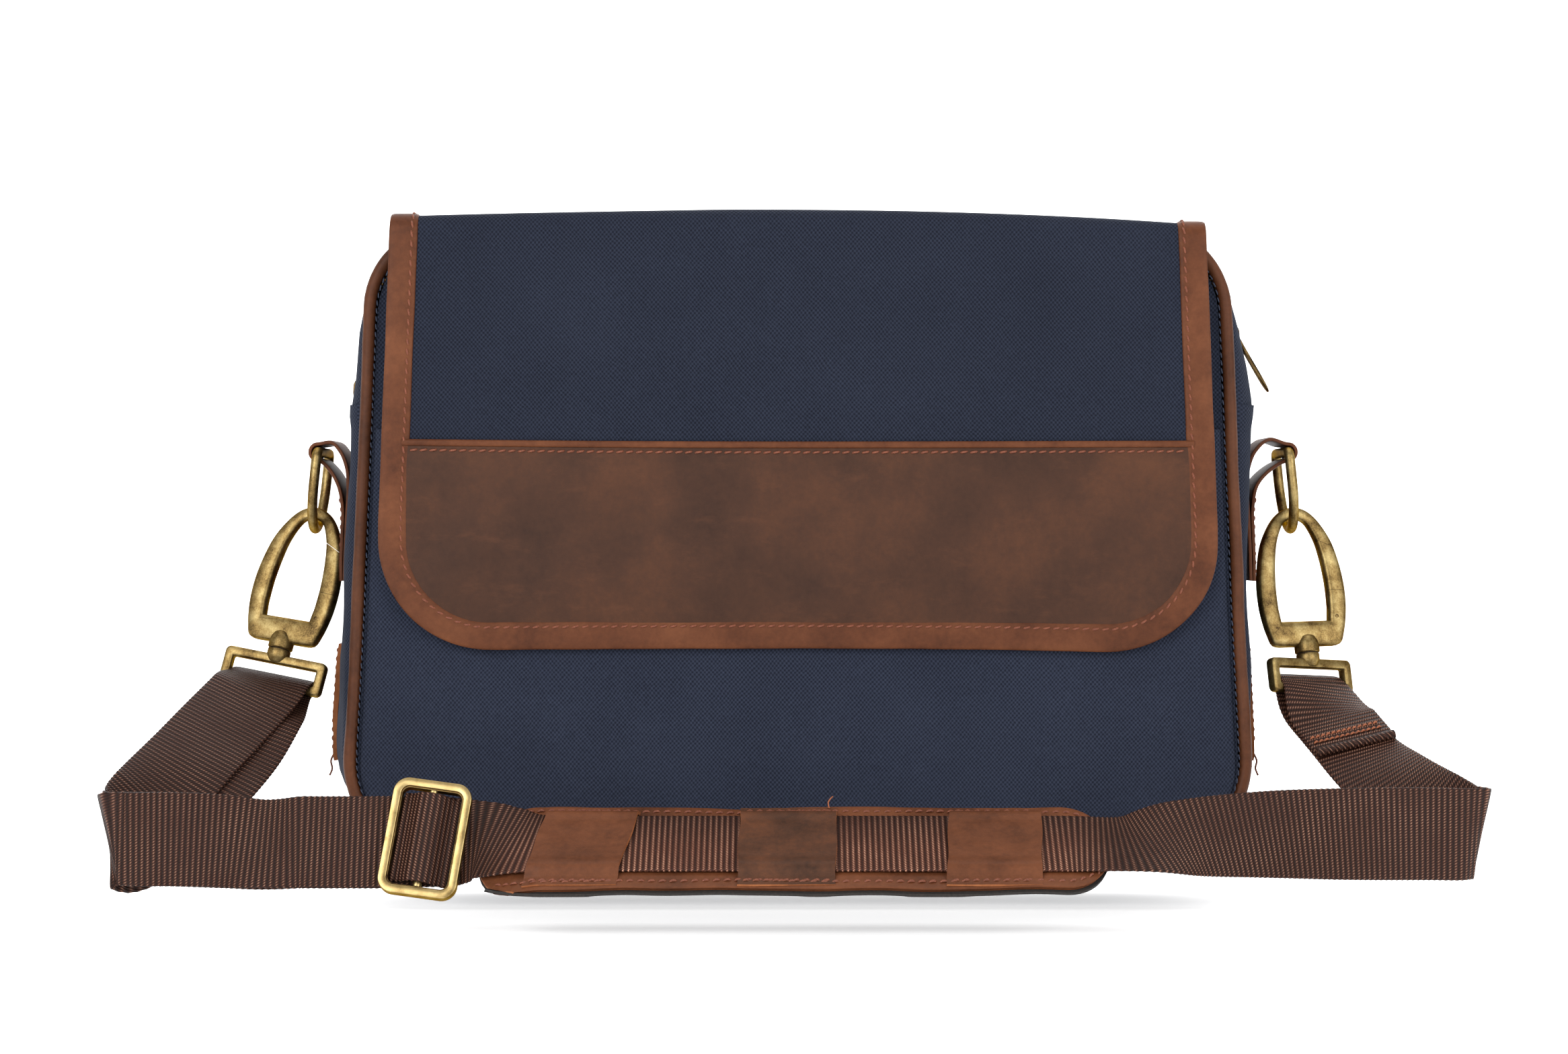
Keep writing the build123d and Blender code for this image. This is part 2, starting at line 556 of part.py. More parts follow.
def adjuster():
    """A rectangular slide with a centre bar, and the hump of webbing over that bar."""
    flat = lean_plane(ADJUSTER_X, *WEB_SLIDE, SLIDE_LEAN)
    turned = flat.x_dir.rotate(Axis((0, 0, 0), flat.z_dir), -ADJUSTER_TURN)
    plane = Plane(origin=flat.origin, x_dir=turned, z_dir=flat.z_dir)
    low = WEB_T / 2 + 0.4
    a, b = ADJUSTER_HALF
    ring = RectangleRounded(2 * a, 2 * b, ADJUSTER_R)
    ring -= RectangleRounded(2 * (a - ADJUSTER_BAR), 2 * (b - ADJUSTER_BAR), ADJUSTER_R - 3)
    frame = extrude(plane * Pos(0, 0, low) * ring, amount=ADJUSTER_T, dir=plane.z_dir)
    save("adjuster_frame", frame)
    height = low + 2.4
    bar = plane * Pos(0, 0, height) * Cylinder(CENTRE_BAR_R, 2 * (b - ADJUSTER_BAR), rotation=(90, 0, 0))
    save("adjuster_bar", bar)
    rise = height + CENTRE_BAR_R + 0.2 + WEB_T / 2
    spots = [(-10.6, low + 0.9), (-7.0, low + 1.6), (-4.4, rise - 1.4), (-2.2, rise - 0.2), (0, rise),
             (2.2, rise - 0.2), (4.4, rise - 1.4), (7.0, low + 1.6), (10.6, low + 0.9)]
    across = plane.y_dir
    stations = [(plane.from_local_coords((x, 0, z)), across) for x, z in spots]
    save("webbing_hump", ribbon(stations, width=WEB_W - 0.4))


def slider(side):
    """The zip's slider rides the chain on the straight side of the gusset."""
    s = SIDES[side]
    slope = degrees(atan2(HIP_HALF - SHOULDER_HALF, GUSSET_TOP - HIP_Z))
    z = SLIDER_Z[side]
    place = Pos(s * gusset_x(z), 0, z) * Rot(0, -s * slope, 0)
    long = SLIDER_LONG / 2
    top = s * 0.6, s * (0.6 + SLIDER_PLATE)
    low = -s * (CHAIN + 0.1), -s * (CHAIN + 0.1 + SLIDER_PLATE)
    body_ = slab(*sorted(top), -SLIDER_HALF_Y, SLIDER_HALF_Y, -long, long)
    body_ += slab(*sorted(low), -SLIDER_HALF_Y, SLIDER_HALF_Y, -long, long)
    body_ += slab(*sorted((top[0], low[0])), -0.7, 0.7, -long, long)
    eye_x = s * (0.6 + SLIDER_PLATE + 1.7)
    for z_post in (-3.4, 3.4):
        body_ += slab(*sorted((top[1], eye_x + s * 0.8)), -1.3, 1.3, z_post - 0.7, z_post + 0.7)
    body_ += slab(*sorted((eye_x + s * 0.4, eye_x + s * 1.6)), -1.3, 1.3, -4.1, 4.1)
    save(f"slider_{side}", place * body_)
    eye = place * Pos(eye_x - s * 0.5, 0, 0)
    ring = slab(-0.7, 0.7, -3.6, 3.6, -PULL_LONG[side], PULL_BAR_R) - slab(-1, 1, -1.9, 1.9, -7.0, 1.0)
    ring += Rot(90, 0, 0) * Cylinder(PULL_BAR_R, 7.2)
    save(f"pull_{side}", eye * Rot(0, -s * PULL_SWING[side], 0) * ring)


body()
piping()
front_pocket()
inside()
flap_front()
flap_top()
for side_name in SIDES:
    d_ring(side_name)
    chape(side_name)
    side_strip(side_name)
    hook(side_name)
    strap_loop(side_name)
    slider(side_name)
webbing()
pad()
adjuster()
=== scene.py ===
from math import atan2, cos, hypot, pi, radians, sin, sqrt

import bmesh
import bpy
import numpy as np
from mathutils import Matrix, Vector, noise


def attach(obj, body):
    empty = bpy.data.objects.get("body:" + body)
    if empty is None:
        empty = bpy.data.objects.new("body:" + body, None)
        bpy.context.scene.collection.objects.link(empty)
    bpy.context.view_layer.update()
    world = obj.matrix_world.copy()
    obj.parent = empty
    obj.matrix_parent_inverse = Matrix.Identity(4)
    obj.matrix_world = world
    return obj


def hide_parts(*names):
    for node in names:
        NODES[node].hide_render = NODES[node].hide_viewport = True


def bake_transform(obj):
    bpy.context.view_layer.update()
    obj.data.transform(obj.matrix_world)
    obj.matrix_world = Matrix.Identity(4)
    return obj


# A canvas messenger bag. Shapes are worked out in millimetres and turned to metres when a mesh is made.
# +Z is up, +X is to the right and the front faces -Y.

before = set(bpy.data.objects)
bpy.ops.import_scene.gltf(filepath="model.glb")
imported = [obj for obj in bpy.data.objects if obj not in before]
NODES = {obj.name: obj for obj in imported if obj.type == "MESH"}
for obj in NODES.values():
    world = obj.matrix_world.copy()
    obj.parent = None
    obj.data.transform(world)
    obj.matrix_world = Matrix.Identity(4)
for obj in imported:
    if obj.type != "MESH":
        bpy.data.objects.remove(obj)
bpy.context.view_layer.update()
MM = 0.001
THREAD = 0.52       # radius of a sewing thread
RIB_PITCH = 2.3     # of the webbing
SIDES = {"left": -1, "right": 1}


# ---------------------------------------------------------------- materials

class Shader:
    """A material and short ways to add nodes to it."""

    def __init__(self, name, **values):
        self.material = bpy.data.materials.new(name)
        self.material.use_nodes = True
        self.tree = self.material.node_tree
        self.bsdf = self.tree.nodes["Principled BSDF"]
        for key, value in values.items():
            self.bsdf.inputs[key.replace("_", " ")].default_value = value

    def feed(self, socket, value):
        if isinstance(value, bpy.types.NodeSocket):
            self.tree.links.new(value, socket)
        else:
            socket.default_value = value

    def add(self, kind, inputs=(), out=0, **settings):
        node = self.tree.nodes.new(kind)
        for key, value in settings.items():
            setattr(node, key, value)
        for key, value in dict(inputs).items():
            self.feed(node.inputs[key], value)
        return node.outputs[out]

    def math(self, operation, a, b=0.0, c=0.0):
        return self.add("ShaderNodeMath", {0: a, 1: b, 2: c}, operation=operation)

    def mix(self, factor, a, b):
        return self.add("ShaderNodeMix", {"Factor": factor, 6: a, 7: b}, out=2, data_type="RGBA")

    def ramp(self, factor, stops):
        node = self.tree.nodes.new("ShaderNodeValToRGB")
        self.feed(node.inputs[0], factor)
        elements = node.color_ramp.elements
        while len(elements) < len(stops):
            elements.new(0.5)
        for element, (at, value) in zip(elements, stops):
            element.position = at
            element.color = value if len(value) == 4 else (*value, 1)
        return node.outputs[0]

    def place(self, scale=1.0):
        """Object coordinates in millimetres, times scale."""
        spot = self.add("ShaderNodeTexCoord", out=3)
        return self.add("ShaderNodeVectorMath", {0: spot, 1: (1000 * scale,) * 3}, operation="MULTIPLY")

    def flat(self):
        """The two coordinates along the cloth, in millimetres."""
        spot = self.add("ShaderNodeUVMap", uv_map="Weave")
        grown = self.add("ShaderNodeVectorMath", {0: spot, 1: (1000, 1000, 1000)}, operation="MULTIPLY")
        node = self.tree.nodes.new("ShaderNodeSeparateXYZ")
        self.feed(node.inputs[0], grown)
        return node.outputs[0], node.outputs[1]

    def pad_painted_light(self, half=106.0, fade=22.0, front=-130.0, gain=1.25):
        """A factor: one, and more where the strap lies face up on its pad: painted light, as if more light
        fell on it from above.
        """
        node = self.tree.nodes.new("ShaderNodeSeparateXYZ")
        self.feed(node.inputs[0], self.place())
        inside = self.math("SUBTRACT", half + fade, self.math("ABSOLUTE", node.outputs[0]))
        side = self.math("DIVIDE", inside, fade)
        ahead = self.math("DIVIDE", self.math("SUBTRACT", front, node.outputs[1]), fade)
        share = self.math("MULTIPLY", self.limit(side), self.limit(ahead))
        return self.math("MULTIPLY_ADD", share, gain, 1.0)

    def limit(self, value):
        """The value, kept between 0 and 1."""
        return self.add("ShaderNodeClamp", {"Value": value})

    def noise(self, vector, scale, detail=3.0, rough=0.5):
        inputs = {"Vector": vector, "Scale": scale, "Detail": detail, "Roughness": rough}
        return self.add("ShaderNodeTexNoise", inputs)

    def wave(self, value, pitch, phase=0.0):
        """A sine of the given pitch in millimetres."""
        turned = self.math("MULTIPLY_ADD", value, 2 * pi / pitch, phase)
        return self.math("SINE", turned)

    def colour(self, value):
        self.feed(self.bsdf.inputs["Base Color"], value)

    def rough(self, value, low, high):
        spread = self.add("ShaderNodeMapRange", {"Value": value, "To Min": low, "To Max": high})
        self.feed(self.bsdf.inputs["Roughness"], spread)

    def bump(self, height, distance, strength=1.0, under=None):
        inputs = {"Height": height, "Distance": distance * MM, "Strength": strength}
        if under is not None:
            inputs["Normal"] = under
        normal = self.add("ShaderNodeBump", inputs)
        self.feed(self.bsdf.inputs["Normal"], normal)
        return normal


def canvas(name, dark, light, pitch=1.75):
    """Cotton canvas in a coarse plain weave: the threads' crowns are lighter than the gaps."""
    s = Shader(name, Specular_IOR_Level=0.06, Sheen_Weight=0.03, Sheen_Roughness=0.5)
    s.bsdf.inputs["Sheen Tint"].default_value = (0.55, 0.6, 0.75, 1)
    u, v = s.flat()
    wander = s.noise(s.place(), 0.09, 2.0)
    u = s.math("MULTIPLY_ADD", wander, 1.6, u)
    v = s.math("MULTIPLY_ADD", wander, -1.3, v)
    crowns = s.math("MULTIPLY", s.wave(u, pitch), s.wave(v, pitch * 1.12))
    slub = s.noise(s.place(), 0.85, 2.0)
    height = s.math("MULTIPLY_ADD", slub, 0.9, crowns)
    patch = s.noise(s.place(), 0.016, 4.0, 0.6)
    lift = s.math("MULTIPLY_ADD", crowns, 0.36, 0.30)
    lift = s.math("MULTIPLY_ADD", slub, 0.42, lift)
    lift = s.math("MULTIPLY_ADD", patch, 0.34, s.math("SUBTRACT", lift, 0.22))
    s.colour(s.ramp(lift, [(0.12, dark), (0.95, light)]))
    s.rough(slub, 0.78, 0.95)
    s.bump(height, 0.16, 0.75)
    return s.material


def leather(name, dark, middle, light, rough=(0.42, 0.62), patch=0.03, scuff=0.0):
    """Smooth leather with a fine grain, cloudy colour and, where it is asked for, pale scuffs."""
    s = Shader(name, Specular_IOR_Level=0.13)
    spot = s.place()
    cloud = s.noise(spot, patch, 5.0, 0.62)
    fleck = s.noise(spot, 0.42, 4.0, 0.7)
    tone = s.math("MULTIPLY_ADD", fleck, 0.34, s.math("MULTIPLY_ADD", cloud, 1.0, -0.17))
    base = s.ramp(tone, [(0.28, dark), (0.5, middle), (0.74, light)])
    if scuff:
        warped = s.add("ShaderNodeVectorMath", {0: spot, 1: (0.055, 0.055, 0.16)}, operation="MULTIPLY")
        streak = s.noise(warped, 1.0, 6.0, 0.72)
        mask = s.ramp(streak, [(0.56, (0, 0, 0)), (0.74, (1, 1, 1))])
        worn = tuple(min(1.0, c * 1.45) for c in light)
        base = s.mix(s.math("MULTIPLY", mask, scuff), base, (*worn, 1))
    s.colour(base)
    s.rough(s.math("MULTIPLY_ADD", fleck, 0.5, s.math("MULTIPLY", cloud, 0.5)), *rough)
    pores = s.add("ShaderNodeTexVoronoi", {"Vector": spot, "Scale": 1.5}, feature="SMOOTH_F1")
    grain = s.math("MULTIPLY_ADD", fleck, 1.4, pores)
    s.bump(grain, 0.10, 0.45)
    return s.material


def webbing(name, dark, middle, light):
    """Ribbed webbing: ribs across the band, each a row of slanting floats whose crowns carry a paler thread
    and a painted highlight.
    """
    s = Shader(name, Specular_IOR_Level=0.14)
    u, v = s.flat()
    crown = s.math("MULTIPLY_ADD", s.wave(u, RIB_PITCH), 0.5, 0.5)
    slanted = s.math("MULTIPLY_ADD", u, 0.55, v)
    floats = s.math("MULTIPLY_ADD", s.wave(slanted, 1.15), 0.5, 0.5)
    fuzz = s.noise(s.place(), 1.3, 3.0)
    top = s.math("POWER", crown, 5.0)
    ribs, slants = s.math("MULTIPLY_ADD", crown, 0.75, 0.25), s.math("MULTIPLY_ADD", floats, 0.6, 0.4)
    body = s.math("SUBTRACT", s.math("MULTIPLY", ribs, slants), 0.1)
    base = s.ramp(s.math("MULTIPLY_ADD", fuzz, 0.3, body), [(0.1, dark), (0.85, middle)])
    # Painted highlight: the floats' crowns on each rib are mixed towards the light colour.
    glint = s.math("MULTIPLY", s.math("POWER", floats, 2.4), top)
    cloud = s.math("MULTIPLY_ADD", s.noise(s.place(), 0.05, 3.0), 1.5, -0.15)
    woven = s.mix(s.math("MULTIPLY", glint, cloud), base, (*light, 1))
    # The colour is multiplied by the pad factor: painted light, paler where the band lies on the pad.
    s.colour(s.add("ShaderNodeVectorMath", {0: woven, 1: s.pad_painted_light()}, operation="MULTIPLY"))
    s.rough(fuzz, 0.42, 0.62)
    height = s.math("MULTIPLY_ADD", floats, 0.55, crown)
    s.bump(height, 0.34, 0.8)
    return s.material


def brass(name, dark, middle, light, rough, speck=0.5):
    """Cast brass with an antique finish: dark in its pits, worn bright in patches."""
    s = Shader(name, Metallic=1.0)
    s.bsdf.inputs["Specular Tint"].default_value = (0.45, 0.33, 0.18, 1)
    spot = s.place()
    cloud = s.noise(spot, 0.11, 5.0, 0.65)
    fine = s.noise(spot, 1.5, 4.0, 0.75)
    tone = s.math("MULTIPLY_ADD", s.math("SUBTRACT", fine, 0.5), speck, cloud)
    s.colour(s.ramp(tone, [(0.28, dark), (0.47, middle), (0.72, light)]))
    s.rough(s.math("MULTIPLY_ADD", fine, 0.6, s.math("MULTIPLY", cloud, 0.4)), *rough)
    s.bump(s.math("MULTIPLY_ADD", cloud, 2.0, fine), 0.06, 0.55)
    return s.material


def thread(name, dark, light):
    """Waxed thread, laid of fine strands."""
    s = Shader(name, Specular_IOR_Level=0.4)
    spot = s.place()
    strand = s.noise(spot, 2.2, 2.0)
    s.colour(s.ramp(strand, [(0.3, dark), (0.7, light)]))
    s.rough(strand, 0.5, 0.7)
    s.bump(strand, 0.08, 0.6)
    return s.material


def plain_cloth(name, dark, light, pitch=0.7):
    s = Shader(name, Specular_IOR_Level=0.2)
    u, v = s.flat()
    crowns = s.math("MULTIPLY", s.wave(u, pitch), s.wave(v, pitch))
    fuzz = s.noise(s.place(), 0.3, 4.0)
    s.colour(s.ramp(s.math("MULTIPLY_ADD", crowns, 0.15, fuzz), [(0.2, dark), (0.8, light)]))
    s.rough(fuzz, 0.8, 0.95)
    s.bump(crowns, 0.08, 0.6)
    return s.material


def solid_stuff(name, dark, light, rough, metal=0.0, scale=0.6):
    """A plain material for small hard parts, with fine speckle."""
    s = Shader(name, Metallic=metal)
    grain = s.noise(s.place(), scale, 4.0)
    s.colour(s.ramp(grain, [(0.3, dark), (0.7, light)]))
    s.rough(grain, *rough)
    s.bump(grain, 0.04, 0.4)
    return s.material


CANVAS_DARK, CANVAS_LIGHT = np.array([0.0065, 0.0079, 0.0139]), np.array([0.0264, 0.0324, 0.0521])
CANVAS = canvas("canvas_navy", CANVAS_DARK, CANVAS_LIGHT)
# Shaded and lit copies of the one navy canvas: the flap's is darker (painted shade) and the pocket's lighter
# (painted light), to even out how the lamps fall on them.
CANVAS_FLAP_PAINTED_SHADE = canvas("canvas_flap_painted_shade", CANVAS_DARK * 0.84, CANVAS_LIGHT * 0.84)
CANVAS_POCKET_PAINTED_LIGHT = canvas("canvas_pocket_painted_light", CANVAS_DARK * 1.1, CANVAS_LIGHT * 1.1)
TAN = leather(
    "leather_tan", (0.0406, 0.0117, 0.0043), (0.0795, 0.0246, 0.0090), (0.1201, 0.0405, 0.0157),
)
PIPING = leather(
    "leather_piping", (0.0350, 0.0117, 0.0051), (0.0681, 0.0231, 0.0098), (0.1058, 0.0374, 0.0156),
    patch=0.02,
)
DARK = leather(
    "leather_dark", (0.0266, 0.0113, 0.0065), (0.0424, 0.0173, 0.0092), (0.0668, 0.0253, 0.0116),
    rough=(0.46, 0.62), patch=0.022, scuff=0.28,
)
PAD_TAN = leather(
    "leather_pad", (0.0496, 0.0162, 0.0066), (0.0958, 0.0312, 0.0123), (0.1411, 0.0469, 0.0187),
    patch=0.024, scuff=0.3,
)
PAD_DARK = leather(
    "leather_pad_dark", (0.0248, 0.0115, 0.0066), (0.0612, 0.0238, 0.0115), (0.1117, 0.0383, 0.0154),
    patch=0.03, scuff=0.15,
)
RAW_EDGE = leather(
    "leather_edge", (0.10, 0.034, 0.014), (0.22, 0.075, 0.028), (0.34, 0.13, 0.05), rough=(0.7, 0.9),
)
# The webbing's third colour is the painted highlight on its rib crowns.
WEBBING = webbing(
    "webbing_brown", (0.0038, 0.0015, 0.0009), (0.0468, 0.0155, 0.0090), (0.3337, 0.1848, 0.1232),
)
ANTIQUE = brass(
    "brass_antique", (0.033, 0.019, 0.009), (0.185, 0.122, 0.044), (0.370, 0.285, 0.125), (0.36, 0.52),
)
ANTIQUE_DARK = brass(
    "brass_dark", (0.02, 0.012, 0.007), (0.10, 0.062, 0.024), (0.22, 0.15, 0.06), (0.36, 0.52),
)
SATIN = brass(
    "brass_satin", (0.20, 0.135, 0.050), (0.38, 0.275, 0.115), (0.50, 0.375, 0.175), (0.28, 0.38), speck=0.25,
)
RUST_THREAD = thread("thread_rust", (0.085, 0.020, 0.008), (0.185, 0.052, 0.021))
PALE_THREAD = thread("thread_orange", (0.17, 0.045, 0.016), (0.34, 0.105, 0.040))
NAVY_THREAD = thread("thread_navy", (0.007, 0.010, 0.022), (0.022, 0.032, 0.06))
TAPE = plain_cloth("zip_tape", (0.006, 0.008, 0.016), (0.018, 0.023, 0.042))
LINING = plain_cloth("cotton_lining", (0.20, 0.15, 0.095), (0.33, 0.26, 0.18))
FELT = solid_stuff("pad_felt", (0.006, 0.005, 0.0045), (0.022, 0.017, 0.014), (0.85, 0.98), scale=1.2)
BOARD = solid_stuff("board", (0.22, 0.15, 0.085), (0.32, 0.23, 0.14), (0.75, 0.9))
STEEL = solid_stuff("magnet_steel", (0.32, 0.32, 0.33), (0.55, 0.55, 0.56), (0.25, 0.4), metal=1.0)
HOLE = solid_stuff("dark_hole", (0.010, 0.005, 0.003), (0.02, 0.01, 0.006), (0.7, 0.9))


# ---------------------------------------------------------------- meshes

def unit(vectors):
    return vectors / np.maximum(np.linalg.norm(vectors, axis=-1, keepdims=True), 1e-9)


def build(name, verts, faces, material, uv=None, sharp=55):
    """A mesh object from points in millimetres. uv is one pair for each point, in millimetres."""
    data = bpy.data.meshes.new(name)
    data.from_pydata((np.asarray(verts, float) * MM).tolist(), [], faces)
    data.update()
    work = bmesh.new()
    work.from_mesh(data)
    bmesh.ops.recalc_face_normals(work, faces=work.faces)
    work.to_mesh(data)
    work.free()
    if uv is not None:
        index = np.zeros(len(data.loops), int)
        data.loops.foreach_get("vertex_index", index)
        layer = data.uv_layers.new(name="Weave")
        layer.data.foreach_set("uv", (np.asarray(uv, float)[index] * MM).ravel())
    data.polygons.foreach_set("use_smooth", np.ones(len(data.polygons), bool))
    data.set_sharp_from_angle(angle=radians(sharp))
    data.materials.append(material)
    made = bpy.data.objects.new(name, data)
    bpy.context.scene.collection.objects.link(made)
    return made


def quads(rows, cols, offset=0, wrap_rows=False, wrap_cols=False, flip=False):
    """Faces of a grid of points."""
    faces = []
    for i in range(rows if wrap_rows else rows - 1):
        for j in range(cols if wrap_cols else cols - 1):
            a, b = i * cols + j, i * cols + (j + 1) % cols
            c, d = ((i + 1) % rows) * cols + (j + 1) % cols, ((i + 1) % rows) * cols + j
            face = [offset + k for k in (a, b, c, d)]
            faces.append(face[::-1] if flip else face)
    return faces


def grid_normals(points):
    along = np.gradient(points, axis=0)
    across = np.gradient(points, axis=1)
    return unit(np.cross(along, across))


def shell(name, outer, thick, material, uv, toward):
    """A closed sheet from a grid of outer points. Its thickness lies on the side away from toward."""
    normals = grid_normals(outer)
    if (normals * toward).sum() < 0:
        normals = -normals
    return two_faced(name, outer, outer - normals * np.asarray(thick)[..., None], material, uv)


def two_faced(name, outer, inner, material, uv):
    """A closed sheet between two grids of the same shape, joined round their rims."""
    rows, cols = outer.shape[:2]
    count = rows * cols
    faces = quads(rows, cols) + quads(rows, cols, count, flip=True)
    rim = [(0, j) for j in range(cols)] + [(i, cols - 1) for i in range(1, rows)]
    rim += [(rows - 1, j) for j in range(cols - 2, -1, -1)] + [(i, 0) for i in range(rows - 2, 0, -1)]
    flat = [i * cols + j for i, j in rim]
    for a, b in zip(flat, flat[1:] + flat[:1]):
        faces.append([b, a, a + count, b + count])
    verts = np.concatenate([outer.reshape(-1, 3), inner.reshape(-1, 3)])
    pairs = np.concatenate([uv.reshape(-1, 2)] * 2)
    return build(name, verts, faces, material, pairs)


def loft(name, sections, material, closed=False, uv=None, sharp=55):
    """Sections (stations, points, 3) joined into a solid, capped at both ends unless it closes on itself."""
    rows, cols = sections.shape[:2]
    faces = quads(rows, cols, wrap_rows=closed, wrap_cols=True)
    if not closed:
        faces.append(list(range(cols))[::-1])
        faces.append([(rows - 1) * cols + j for j in range(cols)])
    return build(name, sections.reshape(-1, 3), faces, material, uv, sharp)


def squircle(count, a, b, power):
    """Points round a superellipse."""
    turn = np.linspace(0, 2 * pi, count, endpoint=False)
    c, s = np.cos(turn), np.sin(turn)
    return np.stack([a * np.sign(c) * abs(c) ** (2 / power), b * np.sign(s) * abs(s) ** (2 / power)], 1)


def curve(points, step=1.0):
    """A smooth line through points of any dimension, with even steps along its first three numbers."""
    p = np.asarray(points, float)
    p = np.concatenate([2 * p[:1] - p[1:2], p, 2 * p[-1:] - p[-2:-1]])
    gap = np.maximum(np.linalg.norm(np.diff(p[:, :3], axis=0), axis=1), 1e-6)[:, None]
    speed = np.diff(p, axis=0) / gap
    slope = (speed[:-1] * gap[1:] + speed[1:] * gap[:-1]) / (gap[1:] + gap[:-1])
    fine = []
    t = np.linspace(0, 1, 24, endpoint=False)[:, None]
    for i in range(1, len(p) - 2):
        reach = gap[i]
        fine.append(
            p[i] * (2 * t ** 3 - 3 * t ** 2 + 1) + slope[i - 1] * reach * (t ** 3 - 2 * t ** 2 + t)
            + p[i + 1] * (3 * t ** 2 - 2 * t ** 3) + slope[i] * reach * (t ** 3 - t ** 2)
        )
    fine = np.concatenate(fine + [p[-2:-1]])
    return resample(fine, step)


def resample(line, step):
    """The line again, with points about step apart."""
    line = np.asarray(line, float)
    run = lengths(line)
    count = max(2, int(round(run[-1] / step)) + 1)
    return points_at(line, run, np.linspace(0, run[-1], count))


def points_at(line, run, at):
    """Values of a line at distances along it, where run holds each point's own distance."""
    return np.stack([np.interp(at, run, line[:, k]) for k in range(line.shape[1])], 1)


def lengths(line):
    """Each point's distance from the start, along the line."""
    gaps = np.linalg.norm(np.diff(line[:, :3], axis=0), axis=1)
    return np.concatenate([[0], np.cumsum(gaps)])


def tangents(line, closed=False):
    if closed:
        return unit(np.roll(line, -1, 0) - np.roll(line, 1, 0))
    return unit(np.gradient(line, axis=0))


def tube(name, line, radius, material, closed=False, sides=12):
    """A round tube along a line; radius may be one number or one for each point."""
    t = tangents(line, closed)
    up = np.zeros_like(line)
    seed = np.array([0.0, 0.0, 1.0]) if abs(t[0][2]) < 0.9 else np.array([0.0, 1.0, 0.0])
    for i in range(len(line)):
        seed = seed - t[i] * (seed @ t[i])
        seed = seed / np.linalg.norm(seed)
        up[i] = seed
    side = np.cross(t, up)
    turn = np.linspace(0, 2 * pi, sides, endpoint=False)
    r = np.broadcast_to(np.asarray(radius, float), (len(line),))[:, None, None]
    ring = np.cos(turn)[None, :, None] * side[:, None] + np.sin(turn)[None, :, None] * up[:, None]
    return loft(name, line[:, None] + ring * r, material, closed)


def stitches(name, line, normals, material, pitch=4.2, long=3.3, slant=9.0, radius=THREAD, start=2.0):
    """A row of sewing along a line: each stitch dives into the surface at both its ends."""
    line, normals = np.asarray(line, float), unit(np.asarray(normals, float))
    run = lengths(line)
    at = np.arange(start, run[-1] - start, pitch)
    centre = points_at(line, run, at)
    up = unit(points_at(normals, run, at))
    along = unit(points_at(line, run, at + 1) - points_at(line, run, at - 1))
    side = np.cross(up, along)
    rows, cols = 7, 6
    t = np.linspace(-0.98, 0.98, rows)
    turn = np.linspace(0, 2 * pi, cols, endpoint=False)
    fat = radius * (1 - t ** 4) ** 0.5
    x = np.repeat(t * long / 2, cols)
    y = np.outer(fat, np.cos(turn)).ravel() + np.repeat(np.sin(radians(slant)) * t * long / 2, cols)
    z = np.outer(fat, np.sin(turn)).ravel() + np.repeat(radius * (0.55 - 1.25 * t ** 2), cols)
    one = x[:, None, None] * along + y[:, None, None] * side + z[:, None, None] * up + centre
    verts = one.transpose(1, 0, 2).reshape(-1, 3)
    pattern = quads(rows, cols, wrap_cols=True)
    pattern += [list(range(cols))[::-1], [(rows - 1) * cols + j for j in range(cols)]]
    faces = [[k + n * rows * cols for k in face] for n in range(len(at)) for face in pattern]
    return build(name, verts, faces, material)


def raw_rim(made, out):
    """The cut edge of a piece of leather looks raw: faces that don't face out or back."""
    made.data.materials.append(RAW_EDGE)
    for face in made.data.polygons:
        if abs(face.normal.dot(Vector(out))) < 0.42:
            face.material_index = 1


def sew(name, line, out, material, body, slot, **look):
    """A row of stitches, settled on its body. out is the way the cloth faces, once or for each point."""
    normals = np.broadcast_to(np.asarray(out, float), np.shape(line))
    settle(stitches(name, line, normals, material, **look), body, slot)


def ripple(points, size, amount, seed=0.0):
    """Smooth noise at each point, between -amount and amount."""
    flat = points.reshape(-1, 3) / size
    values = [noise.noise(Vector((p[0] + seed, p[1] - seed, p[2] + 3 * seed))) for p in flat]
    return np.array(values).reshape(points.shape[:-1]) * amount


def settle(made, body, slot, *nodes):
    """Puts a piece on its body and hides the CAD nodes it stands for."""
    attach(made, body)
    finish(made, slot, *nodes)
    return made


def finish(made, slot, *nodes):
    if nodes:
        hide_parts(*nodes)
    return made


def paint(material, *nodes):
    """A CAD node keeps its shape and takes a better material."""
    for name in nodes:
        data = NODES[name].data
        data.materials.clear()
        data.materials.append(material)


# ---------------------------------------------------------------- bag body

PANEL_Y, SEAM_BOTTOM, SEAM_TOP = 50.0, 5.0, 272.0
SEAM_Y = 49.4             # depth of the seams between gusset and panels
FOOT, HIP, SHOULDER = (193.0, 5.0), (187.5, 112.0), (181.0, 272.0)
FOOT_R, HIP_R, SHOULDER_R = 40.0, 400.0, 33.0
BULGE, GUSSET_TOP = 9.3, 277.3
ZIP_SEAM = 199.0
ARC, LINE = 14, 16        # points on each corner, and between two corners
NAVY_SEAM = dict(pitch=3.4, long=2.6, radius=0.3)
FINE_SEAM = dict(pitch=3.2, long=2.5, radius=0.3)


